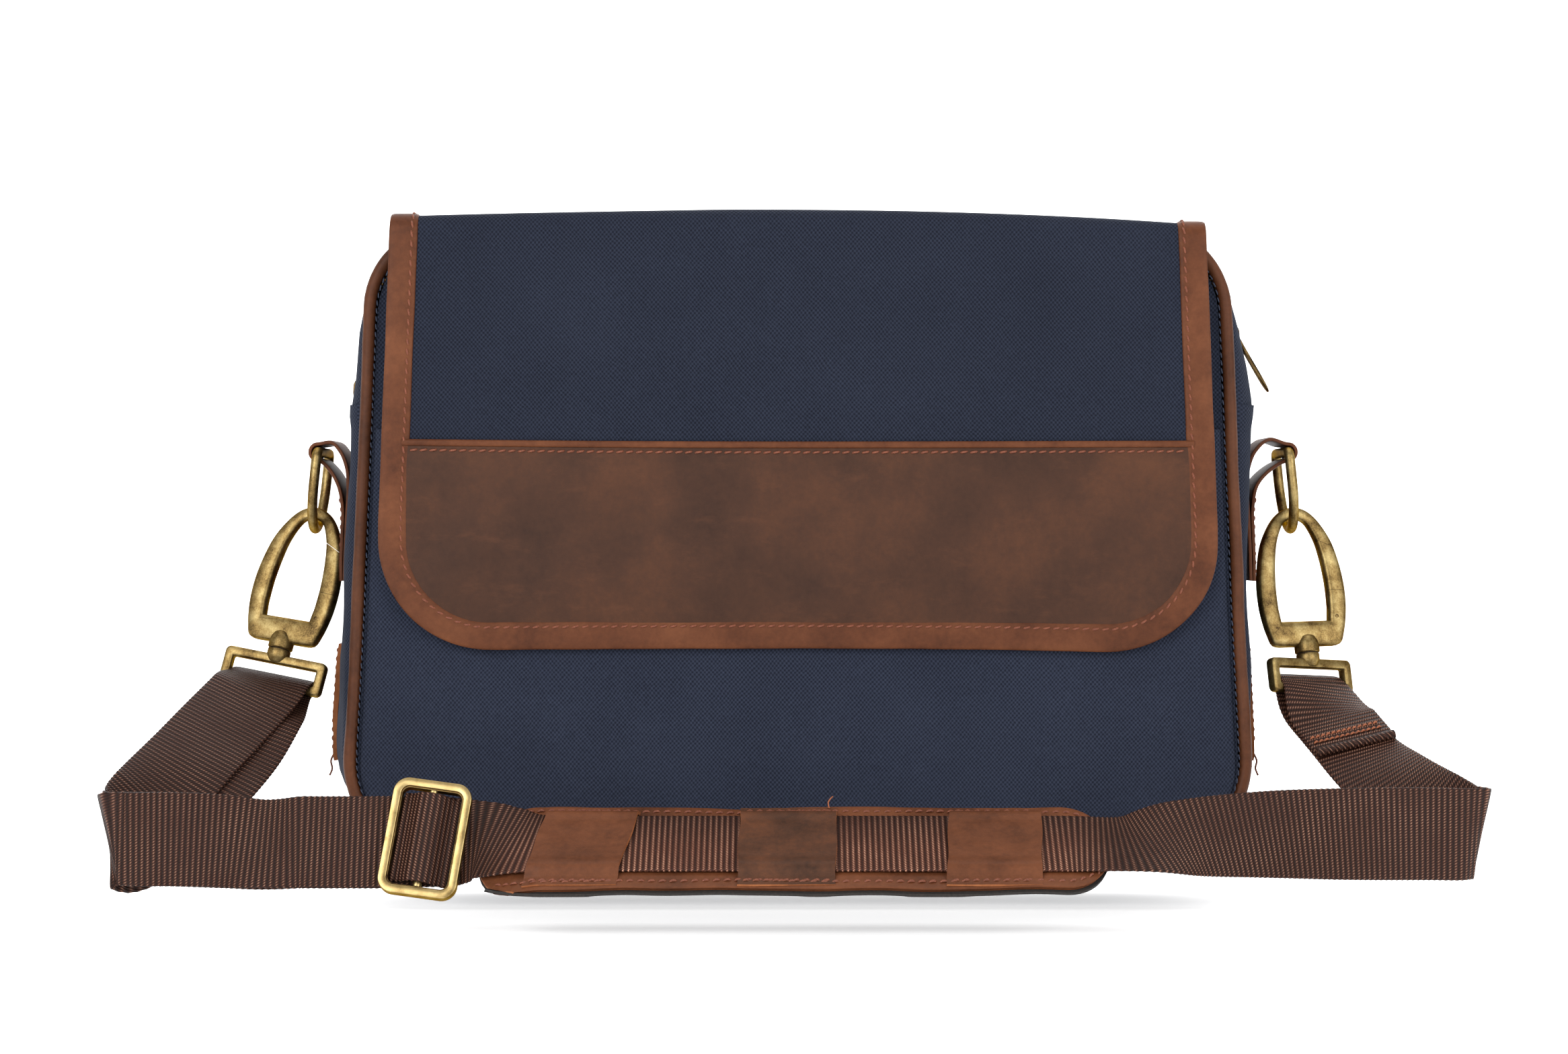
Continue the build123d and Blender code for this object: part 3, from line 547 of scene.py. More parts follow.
def rounded(corners, radii):
    """A closed outline with rounded corners and the same number of points whatever its size."""
    spots = []
    count = len(corners)
    ends = []
    for i in range(count):
        a, b, c = (np.array(corners[(i + k) % count], float) for k in (-1, 0, 1))
        into, out = unit(a - b), unit(c - b)
        half = np.arccos(np.clip(into @ out, -1, 1)) / 2
        reach = radii[i] / np.tan(half) if radii[i] else 0.0
        start, end = b + into * reach, b + out * reach
        if radii[i]:
            middle = b + unit(into + out) * (radii[i] / np.sin(half))
            first = atan2(*(start - middle)[::-1])
            swing = (atan2(*(end - middle)[::-1]) - first + pi) % (2 * pi) - pi
            angles = first + swing * np.linspace(0, 1, ARC)
            arc = middle + radii[i] * np.stack([np.cos(angles), np.sin(angles)], 1)
        else:
            arc = b[None]
        ends.append(arc)
    for i in range(count):
        nxt = ends[(i + 1) % count]
        spots.append(ends[i])
        t = np.linspace(0, 1, LINE + 2)[1:-1, None]
        spots.append(ends[i][-1] * (1 - t) + nxt[0] * t)
    return np.concatenate(spots)


def bag_ring(grow, bottom, top):
    """The bag's outline in x and z, from the right foot round over the top to the left foot and back."""
    share = (ZIP_SEAM - HIP[1]) / (SHOULDER[1] - HIP[1])
    seam_x = HIP[0] + (SHOULDER[0] - HIP[0]) * share
    half = [(FOOT[0], bottom), (HIP[0], HIP[1]), (seam_x, ZIP_SEAM), (SHOULDER[0], top)]
    half = [(x + grow, z) for x, z in half]
    radii = [FOOT_R + grow, HIP_R, 0.0, SHOULDER_R + grow]
    corners = half + [(-x, z) for x, z in reversed(half)]
    return rounded(corners, radii + radii[::-1])


# The soft sides stand out beyond the plain outline by this much at each height, between zip and seams.
PUFF = {
    "left": (
        [10, 20, 50, 100, 137, 170, 196, 210, 230, 250, 268],
        [0, -1, -0.5, 1.0, 1.9, 1.5, 1.6, 0.2, -0.6, -4.5, -6],
    ),
    "right": (
        [10, 20, 50, 85, 120, 160, 200, 216, 232, 250, 268],
        [0, -2, -3.2, -0.3, -0.6, 2.2, 4.6, 3.0, 0.2, -4.0, -6],
    ),
}


def foot_puff(z):
    """The left side stands out once more below its D-ring's tab."""
    return np.interp(z, [15, 40, 60, 90, 110, 120], [0, 2.6, 3.4, 3.0, 0.6, 0])


def swell(y):
    """How much the gusset stands out at depth y, from 0 at the seams to 1 in the middle."""
    return max(0.0, 1 - (abs(y) / 49.6) ** 6) ** 0.5


def gusset_line(y, inset=0.0):
    """The gusset's outline at depth y."""
    s = swell(y)
    top = SEAM_TOP + (GUSSET_TOP - SEAM_TOP) * s - inset
    return bag_ring(BULGE * s - inset, SEAM_BOTTOM * (1 - s) + inset * 0.98, top)


def gusset_grid(depths, inset=0.0, wrinkle=1.0):
    """The swollen gusset as a grid of ring points by depths, with its soft dents."""
    rows = []
    for y in depths:
        ring = gusset_line(y, inset)
        rows.append(np.stack([ring[:, 0], np.full(len(ring), y), ring[:, 1]], 1))
    grid = np.stack(rows, 1)
    x, y, z = grid[..., 0], grid[..., 1], grid[..., 2]
    free = np.clip(1 - (abs(y) / 47) ** 4, 0, 1) * np.clip((z - 14) / 40, 0, 1)
    free = free * np.clip((282 - z) / 60, 0, 1)
    dent = ripple(grid, 52.0, 1.2, 1.7) + ripple(grid, 21.0, 0.5, 5.1)
    tab = np.exp(-((z - 150) / 24) ** 2) * (abs(y) < 24)      # pressed flat where the D-ring's tab is sewn
    dent = dent * (1 - 0.7 * tab) - 1.0 * tab
    puff = np.where(x > 0, np.interp(z, *PUFF["right"]), np.interp(z, *PUFF["left"]))
    near = np.exp(-(((abs(y) - 34) / 12) ** 2)) * np.clip((49.6 - abs(y)) / 4, 0, 1)
    foot = np.where(x < 0, foot_puff(z), 0) * np.clip((38 - abs(y)) / 16, 0, 1)
    grid[..., 0] += np.sign(x) * (free * dent * wrinkle + puff * near + foot)
    return grid


def ring_uv(grid, depths):
    """Cloth coordinates of a gusset grid: the run along its middle, and the depth."""
    run = lengths(grid[:, len(depths) // 2])
    u = np.repeat(run[:, None], len(depths), 1)
    v = np.repeat(np.asarray(depths)[None], len(run), 0)
    return np.stack([u, v], -1)


# The ring's points from FIRST to LAST lie above the end seams, and the others below them.
SAMPLE = gusset_line(0.0)
UPPER = np.where((SAMPLE[:, 1] >= ZIP_SEAM - 0.01))[0]
FIRST, LAST = UPPER[0], UPPER[-1]
BELOW = list(range(LAST, len(SAMPLE))) + list(range(0, FIRST + 1))


def upper_gusset():
    """The two strips of canvas beside the zip, from one end seam over the top to the other."""
    for name, side in (("front", -1), ("rear", 1)):
        depths = side * np.linspace(SEAM_Y, 12.4, 17)
        grid = gusset_grid(depths)[FIRST:LAST + 1]
        top = np.clip((grid[..., 2] - 262) / 12, 0, 1)
        inner = np.clip((24 - abs(grid[..., 1])) / 12, 0, 1)
        grid[..., 2] -= 1.6 * top * inner
        made = shell(f"GussetTop_{name}", grid, 1.5, CANVAS, ring_uv(grid, depths), outward_from(grid))
        settle(made, "bag", "canvas_navy", f"gusset_top_{name}")
        edge = grid[:, -2]
        normal = unit(edge - np.array([0, 0, 150.0])) * [1, 0.2, 1]
        sew(f"ZipStitch_{name}", edge, normal, NAVY_THREAD, "bag", "canvas_navy", **FINE_SEAM)


def outward_from(grid):
    """From the middle of the bag to each point."""
    return grid - np.array([0, 0, 140.0])


def lower_gusset():
    """The band under the bag and up its sides to the end seams, whose stitches it carries."""
    depths = np.linspace(-SEAM_Y, SEAM_Y, 33)
    grid = gusset_grid(depths)[BELOW]
    lip = np.clip((grid[..., 2] - 192) / 3, 0, 1)
    grid[..., 0] += np.sign(grid[..., 0]) * 0.9 * lip
    made = shell("GussetLower", grid, 1.6, CANVAS, ring_uv(grid, depths), outward_from(grid))
    settle(made, "bag", "canvas_navy", "gusset_lower")
    z = ZIP_SEAM - 4.5
    for name, side in SIDES.items():
        line = [(side * (gusset_half(z, y) + 1.0), y, z) for y in np.linspace(-40, 40, 24)]
        sew(f"EndSeam_{name}", line, (side, 0, 0), NAVY_THREAD, "bag", "canvas_navy", **FINE_SEAM)


def gusset_half(z, y=0.0):
    """Half width of the gusset at a height and a depth, without its dents."""
    ring = gusset_line(y)
    right = ring[ring[:, 0] > 150]
    right = right[np.argsort(right[:, 1])]
    return float(np.interp(z, right[:, 1], right[:, 0]))


def panel_half(z, inset=0.0):
    """Half width of a front or back panel at height z."""
    low, high = SEAM_BOTTOM + inset, SEAM_TOP - inset
    x = np.interp(z, [FOOT[1], HIP[1], SHOULDER[1]], [FOOT[0], HIP[0], SHOULDER[0]]) - inset
    foot, shoulder = FOOT_R - inset, SHOULDER_R - inset
    if z < low + foot:
        x -= foot - sqrt(max(0.0, foot ** 2 - (low + foot - z) ** 2))
    if z > high - shoulder:
        x -= shoulder - sqrt(max(0.0, shoulder ** 2 - (z - high + shoulder) ** 2))
    return x


def heights(low, high, fine_low, fine_high, count):
    """Heights between two levels, closer together towards a rounded end."""
    t = np.linspace(0, 1, count)
    if fine_low and fine_high:
        t = 0.5 - 0.5 * np.cos(pi * t)
    elif fine_low:
        t = 1 - np.cos(pi * t / 2)
    elif fine_high:
        t = np.sin(pi * t / 2)
    return low + (high - low) * t


def panel_grid(low, high, inset, y_of, count=46, cols=90, fine=(True, True)):
    """Rows of points over a panel; y_of gives the depth from x as a share of the half width, and z."""
    rows = []
    for z in heights(low, high, *fine, count):
        w = panel_half(z, inset)
        a = np.sin(np.linspace(-pi / 2, pi / 2, cols))
        rows.append([(w * k, y_of(k, z), z) for k in a])
    return np.array(rows)


def flat_uv(grid):
    """Cloth coordinates of a panel: x and z."""
    return np.stack([grid[..., 0], grid[..., 2]], -1)


def panels():
    """The front and back panels; the back one is fuller."""
    def front(k, z):
        return -PANEL_Y - 1.2 * (1 - k ** 8)

    def rear(k, z):
        puff = (1 - k ** 6) * (1 - abs((z - 138) / 136) ** 6)
        return PANEL_Y - 0.2 + 3.4 * puff

    for name, y_of, side in (("front", front, -1), ("rear", rear, 1)):
        grid = panel_grid(SEAM_BOTTOM + 1.2, SEAM_TOP - 1.2, 1.2, y_of)
        edge = np.clip(1 - (grid[..., 0] / 178) ** 8, 0, 1)
        grid[..., 1] += side * edge * (ripple(grid, 70.0, 1.6, 2.0 + side) + ripple(grid, 26.0, 0.5, 9.0))
        made = shell(f"Panel_{name}", grid, 1.4, CANVAS, flat_uv(grid), np.array([0, side, 0]))
        node = "front_panel" if side < 0 else "back_panel"
        settle(made, "bag", "canvas_navy", node)


def closed_line(ring, y):
    """An outline in x and z, set at depth y and closed on itself, with even steps."""
    line = np.stack([ring[:, 0], np.full(len(ring), y), ring[:, 1]], 1)
    return resample(np.concatenate([line, line[:1]]), 2.2)


def piping():
    """A leather cord round each panel, and the seam just inside it."""
    away = 2.3
    for name, side in (("front", -1), ("rear", 1)):
        line = closed_line(bag_ring(away, SEAM_BOTTOM - away + 0.4, SEAM_TOP + away), side * SEAM_Y)[:-1]
        line[:, 1] += ripple(line, 34.0, 0.7, 3.0 + side)
        line[:, 0] += ripple(line, 60.0, 0.9, 7.0 + side)
        line[:, 2] += 0.35 * np.clip((12 - line[:, 2]) / 10, 0, 1)
        radius = 2.75 + ripple(line, 9.0, 0.14, 4.0)
        made = tube(f"Piping_{name}", line, radius, PIPING, closed=True, sides=16)
        settle(made, "bag", "leather_tan", f"piping_{name}")
        line = closed_line(bag_ring(-0.9, SEAM_BOTTOM + 0.9, SEAM_TOP - 0.9), side * 51.6)
        sew(f"PipingSeam_{name}", line, (0, side, 0), NAVY_THREAD, "bag", "canvas_navy", **NAVY_SEAM)


def pocket():
    """The patch pocket: crowned, sewn down at its sides and foot, open and hemmed at the top."""
    low, high = 7.6, 188.0

    def face(k, z):
        side = max(0.0, 1 - abs(k) ** 15) ** 0.5
        foot = 1 - np.exp(-(z - low) / 9.0)
        hem = 1.0 + 0.10 * np.clip((z - 150) / 38, 0, 1)
        return -51.0 - 6.2 * side * foot * hem

    grid = panel_grid(low, high, 2.6, face, count=64, cols=120, fine=(True, False))
    edge = np.clip(1 - (abs(grid[..., 0]) / 188) ** 10, 0, 1) * np.clip((grid[..., 2] - 10) / 25, 0, 1)
    grid[..., 1] -= edge * (ripple(grid, 60.0, 1.1, 11.0) + ripple(grid, 24.0, 0.45, 4.0))
    thick = np.where(grid[..., 2] > 176, 2.2, 1.4)
    # The pocket takes the lighter copy of the canvas: painted light.
    made = shell("PocketFront", grid, thick, CANVAS_POCKET_PAINTED_LIGHT, flat_uv(grid), np.array([0, -1, 0]))
    settle(made, "bag", "canvas_navy", "front_pocket")
    x = np.linspace(-176, 176, 120)
    y = np.array([np.interp(v, grid[-5, :, 0], grid[-5, :, 1]) for v in x])
    line = np.stack([x, y, np.full(len(x), high - 10)], 1)
    sew("PocketHem", line, (0, -1, 0), NAVY_THREAD, "bag", "canvas_navy", **NAVY_SEAM)


def lining():
    """The inner bag: two walls and a band between them, which hang inside the canvas."""
    for name, side in (("front", -1), ("rear", 1)):
        def wall(k, z):
            return side * (46.0 + 0.8 * (1 - k ** 4))

        grid = panel_grid(10.0, 262.0, 5.0, wall, count=30, cols=50)
        grid[..., 1] -= side * (1.2 + ripple(grid, 45.0, 1.1, 6.0))
        made = shell(f"Lining_{name}", grid, 0.7, LINING, flat_uv(grid), np.array([0, -side, 0]))
        settle(made, "bag", "cotton_lining", *(["lining"] if side < 0 else []))
    depths = np.linspace(-45, 45, 17)
    grid = gusset_grid(depths, inset=3.6, wrinkle=0.6)[BELOW]
    made = shell("Lining_band", grid, 0.7, LINING, ring_uv(grid, depths), -outward_from(grid))
    settle(made, "bag", "cotton_lining")


def divider():
    """The padded wall of the laptop sleeve."""
    rows = []
    for z in heights(13.0, 196.0, True, True, 30):
        w = panel_half(z, 8.5)
        rows.append([(w * k, 0.0, z) for k in np.sin(np.linspace(-pi / 2, pi / 2, 50))])
    grid = np.array(rows)
    x, z = grid[..., 0], grid[..., 2]
    puff = (1 - (abs(x) / 186) ** 10) * np.clip(1 - (abs(z - 104.5) / 92) ** 8, 0, 1)
    quilting = 0.72 + 0.28 * abs(np.sin(pi * (x + z) / 60) * np.sin(pi * (x - z) / 60))
    half = 0.5 + 1.9 * np.sqrt(np.clip(puff, 0, 1)) * quilting
    front, rear = grid.copy(), grid.copy()
    front[..., 1] = 20.5 - half
    rear[..., 1] = 20.5 + half
    made = two_faced("DividerPad", front, rear, LINING, flat_uv(grid))
    settle(made, "bag", "foam_padding", "divider")


# ---------------------------------------------------------------- zip

SLIDER_Z = {"left": 207.0, "right": 231.0}
# How far each pull stands off the gusset, in degrees, and how long it is.
PULLS = {"left": (4.0, 15.0), "right": (30.0, 29.0)}


def zip_gap():
    """Half the distance between the two rows of teeth at each point of the ring's upper part."""
    line = SAMPLE[FIRST:LAST + 1]
    run = lengths(np.stack([line[:, 0], line[:, 1]], 1))
    half = len(line) // 2
    right_end = np.interp(SLIDER_Z["right"] + 11, line[:half, 1], run[:half])
    left_end = np.interp(-(SLIDER_Z["left"] + 14), -line[half:, 1], run[half:])
    open_run = np.minimum(run - right_end, left_end - run)
    share = np.clip(open_run / 95, 0, 1)
    return 1.15 + 8.9 * share * share * (3 - 2 * share)


def zip_parts():
    gap = zip_gap()
    for name, side in (("front", -1), ("rear", 1)):
        rows = []
        for i, index in enumerate(range(FIRST, LAST + 1)):
            inner, outer = gap[i] + 1.1, gap[i] + 13.4
            row = []
            for y in np.linspace(outer, inner, 12):
                point = gusset_line(side * y)[index]
                centre = np.array([0, 140.0])
                down = unit(centre - point)
                under_flap = np.clip((point[1] - 254.0) / 14.0, 0, 1)
                spot = point + down * (0.9 + 1.3 * np.clip((y - 10.5) / 1.6, 0, 1) + 2.6 * under_flap)
                row.append((spot[0], side * y, spot[1]))
            rows.append(row)
        grid = np.array(rows)
        uv = ring_uv(grid, side * np.linspace(14.5, 2.3, 12))
        made = shell(f"ZipTape_{name}", grid, 0.6, TAPE, uv, outward_from(grid))
        settle(made, "bag", "zip_tape", f"zip_tape_{name}")
        edge = grid[:, -1]
        t = tangents(edge)
        out = unit(np.stack([edge[:, 0], np.zeros(len(edge)), edge[:, 2] - 140], 1))
        out = unit(out - t * (out * t).sum(1, keepdims=True))
        length = lengths(edge)
        at = np.arange(1.0 + (0.55 if side > 0 else 0.0), length[-1] - 1, 2.2)
        spots = points_at(edge, length, at)
        along = unit(points_at(t, length, at))
        up = unit(points_at(out, length, at))
        if side > 0:
            spots += along * 0.55
        inward = np.cross(along, up)
        if (inward[:, 1] * -side).sum() < 0:
            inward = -inward
        verts, faces = [], []
        tooth = [(-1.3, 0.62, 1.0), (0.2, 0.62, 1.0), (1.1, 0.36, 0.8), (1.9, 0.5, 0.85), (2.15, 0.3, 0.6)]
        base = []
        for a, half_long, half_high in tooth:
            base += [(a, b * half_long, c * half_high) for b, c in ((1, 1), (-1, 1), (-1, -1), (1, -1))]
        pattern = quads(len(tooth), 4, wrap_cols=True) + [[3, 2, 1, 0], [16, 17, 18, 19]]
        for n in range(len(at)):
            for a, b, c in base:
                verts.append(spots[n] + inward[n] * a + along[n] * b + up[n] * c)
            faces += [[k + 20 * n for k in face] for face in pattern]
        made = build(f"ZipTeeth_{name}", verts, faces, ANTIQUE_DARK, sharp=30)
        settle(made, "bag", "zip_brass", f"zip_chain_{name}")


def local(place, points):
    """Local millimetre points moved to the bag's frame."""
    flat = np.asarray(points, float)
    m = np.array(place)
    return flat @ m[:3, :3].T + m[:3, 3]


def round_box(name, place, low, high, power, material, count=12):
    """A soft-edged block between two corners, as a stack of superellipses along its local z."""
    (x0, y0, z0), (x1, y1, z1) = low, high
    t = np.sin(np.linspace(-pi / 2, pi / 2, count))
    sections = []
    for k in t:
        size = (1 - abs(k) ** (power * 1.6)) ** (1 / (power * 1.6)) if abs(k) < 1 else 0.02
        size = max(size, 0.05)
        ring = squircle(20, (x1 - x0) / 2 * size, (y1 - y0) / 2 * size, power)
        z = (z0 + z1) / 2 + k * (z1 - z0) / 2
        sections.append([(x + (x0 + x1) / 2, y + (y0 + y1) / 2, z) for x, y in ring])
    return loft(name, local(place, np.array(sections).reshape(-1, 3)).reshape(count, 20, 3), material)


def merge(name, parts, body, slot, *nodes):
    """Several meshes as one piece."""
    first = parts[0]
    for other in parts[1:]:
        for m in other.data.materials:
            if m.name not in first.data.materials:
                first.data.materials.append(m)
    work = bmesh.new()
    work.from_mesh(first.data)
    for other in parts[1:]:
        before = len(work.faces)
        work.from_mesh(other.data)
        work.faces.ensure_lookup_table()
        index = first.data.materials.find(other.data.materials[0].name)
        for face in work.faces[before:]:
            face.material_index = index
        bpy.data.objects.remove(other)
    work.to_mesh(first.data)
    work.free()
    first.name = name
    return settle(first, body, slot, *nodes)


def sliders():
    for name, side in SIDES.items():
        z = SLIDER_Z[name]
        x = side * (gusset_half(z) - 0.2)
        place = Matrix.Translation((x, 0, z)) @ Matrix.Rotation(radians(-side * 2.25), 4, "Y")
        if side < 0:
            place = place @ Matrix.Rotation(pi, 4, "Z")
        top = round_box("a", place, (0.7, -4.4, -5.6), (2.1, 4.4, 5.6), 3.2, ANTIQUE_DARK)
        low = round_box("b", place, (-3.9, -4.2, -5.2), (-2.6, 4.2, 5.2), 3.2, ANTIQUE_DARK)
        wedge = round_box("c", place, (-3.2, -0.8, 1.0), (1.2, 0.8, 5.0), 3.0, ANTIQUE_DARK)
        flange = []
        for k in (-1, 1):
            corners = (-0.2, k * 4.3 - 0.5, -4.4), (1.5, k * 4.3 + 0.5, 3.6)
            flange.append(round_box(f"d{k}", place, *corners, 4, ANTIQUE_DARK))
        arch = [(1.6, -3.9), (3.6, -3.7), (4.3, -2.2), (4.4, 0), (4.3, 2.2), (3.6, 3.7), (1.6, 3.9)]
        line = curve([(a, 0, b) for a, b in arch], 0.6)
        crown = tube("e", local(place, line), 0.75, ANTIQUE_DARK, sides=10)
        body = f"slider_{name}"
        merge(f"Slider_{name}", [top, low, wedge, *flange, crown], body, "brass_antique", body)
        eye = np.array(place @ Vector((3.35, 0, 0.1)))
        swing, long = PULLS[name]
        hang = Matrix.Translation(eye) @ Matrix.Rotation(radians(-side * swing), 4, "Y")
        pull(name, hang, long, f"pull_{name}")


def pull(name, place, long, node):
    """A flat cast pull: an eye at the top, a narrow neck and a long tongue with a rim."""
    half = [(0.0, 1.25), (1.7, 0.9), (3.4, -0.5), (3.5, -3.0), (3.2, -5.6), (2.5, -7.6), (2.1, -10.0)]
    half += [(2.5, -long * 0.62), (3.3, -long * 0.86), (2.9, -long + 1.0), (1.5, -long), (0.0, -long)]
    right = curve([(0.0, x, z) for x, z in half], 0.5)
    left = right[::-1].copy()
    left[:, 1] *= -1
    outer = resample(np.concatenate([right, left[1:]]), 0.6)[:-1]
    hole = [(0.0, -0.4), (1.5, -0.9), (2.0, -2.6), (1.7, -5.0), (0.9, -6.3), (0.0, -6.6)]
    r2 = curve([(0.0, x, z) for x, z in hole], 0.4)
    l2 = r2[::-1].copy()
    l2[:, 1] *= -1
    hole_line = np.concatenate([r2, l2[1:]])
    inner = resample(hole_line, lengths(hole_line)[-1] / len(outer))[:len(outer)]
    body = ring_solid(f"Pull_{name}", place, inner, outer, 0.75, 3.0, ANTIQUE_DARK, normal_axis=0)
    settle(body, f"pull_{name}", "brass_antique", node)


def ring_solid(name, place, inner, outer, half_thick, power, material, closed=True, normal_axis=1, sharp=55):
    """A solid between an inner and an outer line that have the same number of points, with soft edges.
    half_thick is one number, or one for each point."""
    inner, outer = np.asarray(inner, float), np.asarray(outer, float)
    count = min(len(inner), len(outer))
    inner, outer = inner[:count], outer[:count]
    profile = squircle(20, 1.0, 1.0, power)
    middle, reach = (inner + outer) / 2, (outer - inner) / 2
    thick = np.broadcast_to(np.asarray(half_thick, float), (count,))
    axis = np.zeros(3)
    axis[normal_axis] = 1.0
    sections = middle[:, None] + reach[:, None] * profile[None, :, :1]
    sections = sections + axis * (thick[:, None] * profile[None, :, 1])[..., None]
    moved = local(place, sections.reshape(-1, 3)).reshape(sections.shape)
    return loft(name, moved, material, closed=closed, sharp=sharp)


# ---------------------------------------------------------------- flap

TOP_Z, FRONT_Y, REAR_Y = 282.2, -62.0, 56.0
FOLD_R = 6.0
FLAP_TOP_HALF, FLAP_LOW_HALF = 174.5, 179.5
FLAP_BOTTOM, FLAP_R, BINDING = 92.0, 48.0, 12.2
SEWN_IN = 2.5             # from the binding's inner edge to its stitches
TOP_RUN = 54.0            # from the middle of the top to the start of each fold
FOLD_RUN = FOLD_R * pi / 2
FRONT_RUN = TOP_RUN + FOLD_RUN
BOTTOM_S = FRONT_RUN + TOP_Z - FOLD_R - FLAP_BOTTOM


def flap_profile(s):
    """y, z along the flap at a distance s from the middle of its top; positive towards the front."""
    side = -1 if s > 0 else 1
    run = abs(s)
    flat_y = FRONT_Y if s > 0 else REAR_Y
    start = abs(flat_y) - FOLD_R
    if run < start:
        return side * run, TOP_Z
    turn = (run - start) / FOLD_R
    if turn < pi / 2:
        return side * (start + FOLD_R * sin(turn)), TOP_Z - FOLD_R * (1 - cos(turn))
    return flat_y, TOP_Z - FOLD_R - (run - start - FOLD_RUN)


def s_of_z(z):
    return abs(FRONT_Y) - FOLD_R + FOLD_RUN + TOP_Z - FOLD_R - z


def sag(x):
    """The top edge is highest in the middle and drops more to the right than to the left."""
    return (6.6 if x > 0 else 2.9) * min(1.0, abs(x) / 176) ** 2.0


def flap_point(x, s, off=0.0):
    """A point on the flap's outer surface at x and s, off millimetres above it."""
    y, z = flap_profile(s)
    y2, z2 = flap_profile(s + (0.5 if s > 0 else -0.5))
    ny, nz = (z - z2, y2 - y) if s <= 0 else (z2 - z, y - y2)
    size = hypot(ny, nz) or 1.0
    ny, nz = ny / size, nz / size
    if abs(s) < 40:
        ny, nz = 0.0, 1.0
    fade = 1.0 if z > 250 else 0.35 + 0.65 * max(0.0, (z - 92) / 158)
    z_drop = sag(x) * (fade if s > 0 else 1.0) * (0.0 if s < -62 else 1.0)
    if s < 0:
        z_drop = sag(x) * np.clip((62 + s) / 30 + 0.35, 0.35, 1)
    wave = 0.0
    if s > 40:
        down = np.clip((270 - z) / 60, 0, 1)
        wave = 1.1 * down * noise.noise(Vector((x / 75, z / 60, 3.1)))
        wave += 0.5 * down * noise.noise(Vector((x / 28, z / 30, 8.2)))
        crease = np.exp(-((z - 250 + 0.35 * abs(x + 26)) / 7) ** 2) * np.exp(-((x + 26) / 34) ** 2)
        wave -= 1.5 * crease
        wave += 1.0 * np.exp(-((x + 26) / 30) ** 2 - ((z - 272) / 9) ** 2)
        belly = 1.4 * (1 - (x / 178) ** 2) * np.clip(sin(pi * np.clip((282 - z) / 190, 0, 1)), 0, 1)
        wave += belly
        wave -= 1.3 * np.exp(-((z - 92) / 26) ** 2) * (1 - (x / 178) ** 4)
    elif abs(s) <= 40:
        wave = 0.8 * noise.noise(Vector((x / 60, s / 40, 1.1))) * (1 - (s / 40) ** 2)
    point = np.array([x, y + ny * (off + wave), z - z_drop + nz * (off + wave)])
    return point, np.array([0.0, ny, nz])


def flap_half(s):
    """Half width of the flap at s."""
    _, z = flap_profile(s)
    if s <= 0:
        return FLAP_TOP_HALF
    return float(np.interp(z, [150.0, 281.0], [FLAP_LOW_HALF, FLAP_TOP_HALF]))


def flap_outline(inset):
    """The front half of the flap's edge, as x and s, from the left of its top middle round to the right."""
    w = FLAP_LOW_HALF - inset
    radius = FLAP_R - inset
    bottom = BOTTOM_S - inset
    left = [(-(flap_half(s) - inset), s) for s in np.arange(0, bottom - radius, 2.0)]
    turn = np.linspace(0, pi / 2, 30)
    corner = [(-(w - radius) - radius * cos(a), bottom - radius + radius * sin(a)) for a in turn]
    half = left + corner
    middle = [(x, bottom) for x in np.linspace(-(w - radius), w - radius, 120)[1:-1]]
    return half + middle + [(-x, s) for x, s in reversed(half)]


PROFILE = squircle(22, 1.0, 1.0, 5.0)


def on_flap(pairs, off=0.0):
    """Points and normals at x, s pairs, off millimetres above the flap."""
    spots, normals = zip(*(flap_point(x, s, off) for x, s in pairs))
    return np.array(spots), np.array(normals)


def flap_row(name, pairs, off, long, slant, facing=1):
    """A row of stitches through x, s pairs on the flap; facing is -1 on its inside."""
    line, up = on_flap(pairs, off)
    return stitches(name, line, facing * up, RUST_THREAD, long=long, slant=slant)


def edge_strip(name, pairs, thick=3.9, lift=-0.75):
    """The binding's leather along x, s pairs on the flap, wrapped round its edge."""
    data = resample(np.concatenate(on_flap(pairs), 1), 1.8)
    line, up = data[:, :3], unit(data[:, 3:])
    t = tangents(line)
    side = unit(np.cross(t, up))
    up = unit(np.cross(side, t))
    wobble = 1 + ripple(line, 20.0, 0.035, 2.2)
    half = BINDING / 2 * wobble
    sections = line[:, None] + up[:, None] * lift
    sections = sections + side[:, None] * (PROFILE[None, :, :1] * half[:, None, None])
    sections = sections + up[:, None] * (PROFILE[None, :, 1:] * thick / 2)
    return loft(name, sections, TAN)


def blend_front(piece, slot, *nodes):
    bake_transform(piece)
    return finish(piece, slot, *nodes)


def blend_rear(piece, slot, *nodes):
    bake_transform(piece)
    return finish(piece, slot, *nodes)


def binding():
    made = edge_strip("FlapBinding", flap_outline(BINDING / 2 - 0.1))
    blend_front(made, "leather_tan", "flap_binding", "flap_binding_top")
    outline = flap_outline(BINDING - SEWN_IN)
    blend_front(flap_row("FlapStitches", outline, 0.95, 3.6, 12), "leather_tan")
    blend_front(flap_row("FlapStitchesInside", outline, -2.9, 3.4, -12, facing=-1), "leather_tan")
    run = np.arange(0, -84, -2.0)
    for name, k in SIDES.items():
        edge, sewn = (k * (FLAP_TOP_HALF - inset) for inset in (BINDING / 2 - 0.1, BINDING - SEWN_IN))
        blend_rear(edge_strip(f"RearBinding_{name}", [(edge, s) for s in run]), "leather_tan")
        row = flap_row(f"RearStitches_{name}", [(sewn, s) for s in run], 0.95, 3.3, 12 * k)
        blend_rear(row, "leather_tan")


def panel_top(x):
    """s of the leather panel's top edge."""
    z = 181.6 + (4.8 if x > 0 else 3.0) * (x / 167) ** 2
    return s_of_z(z)


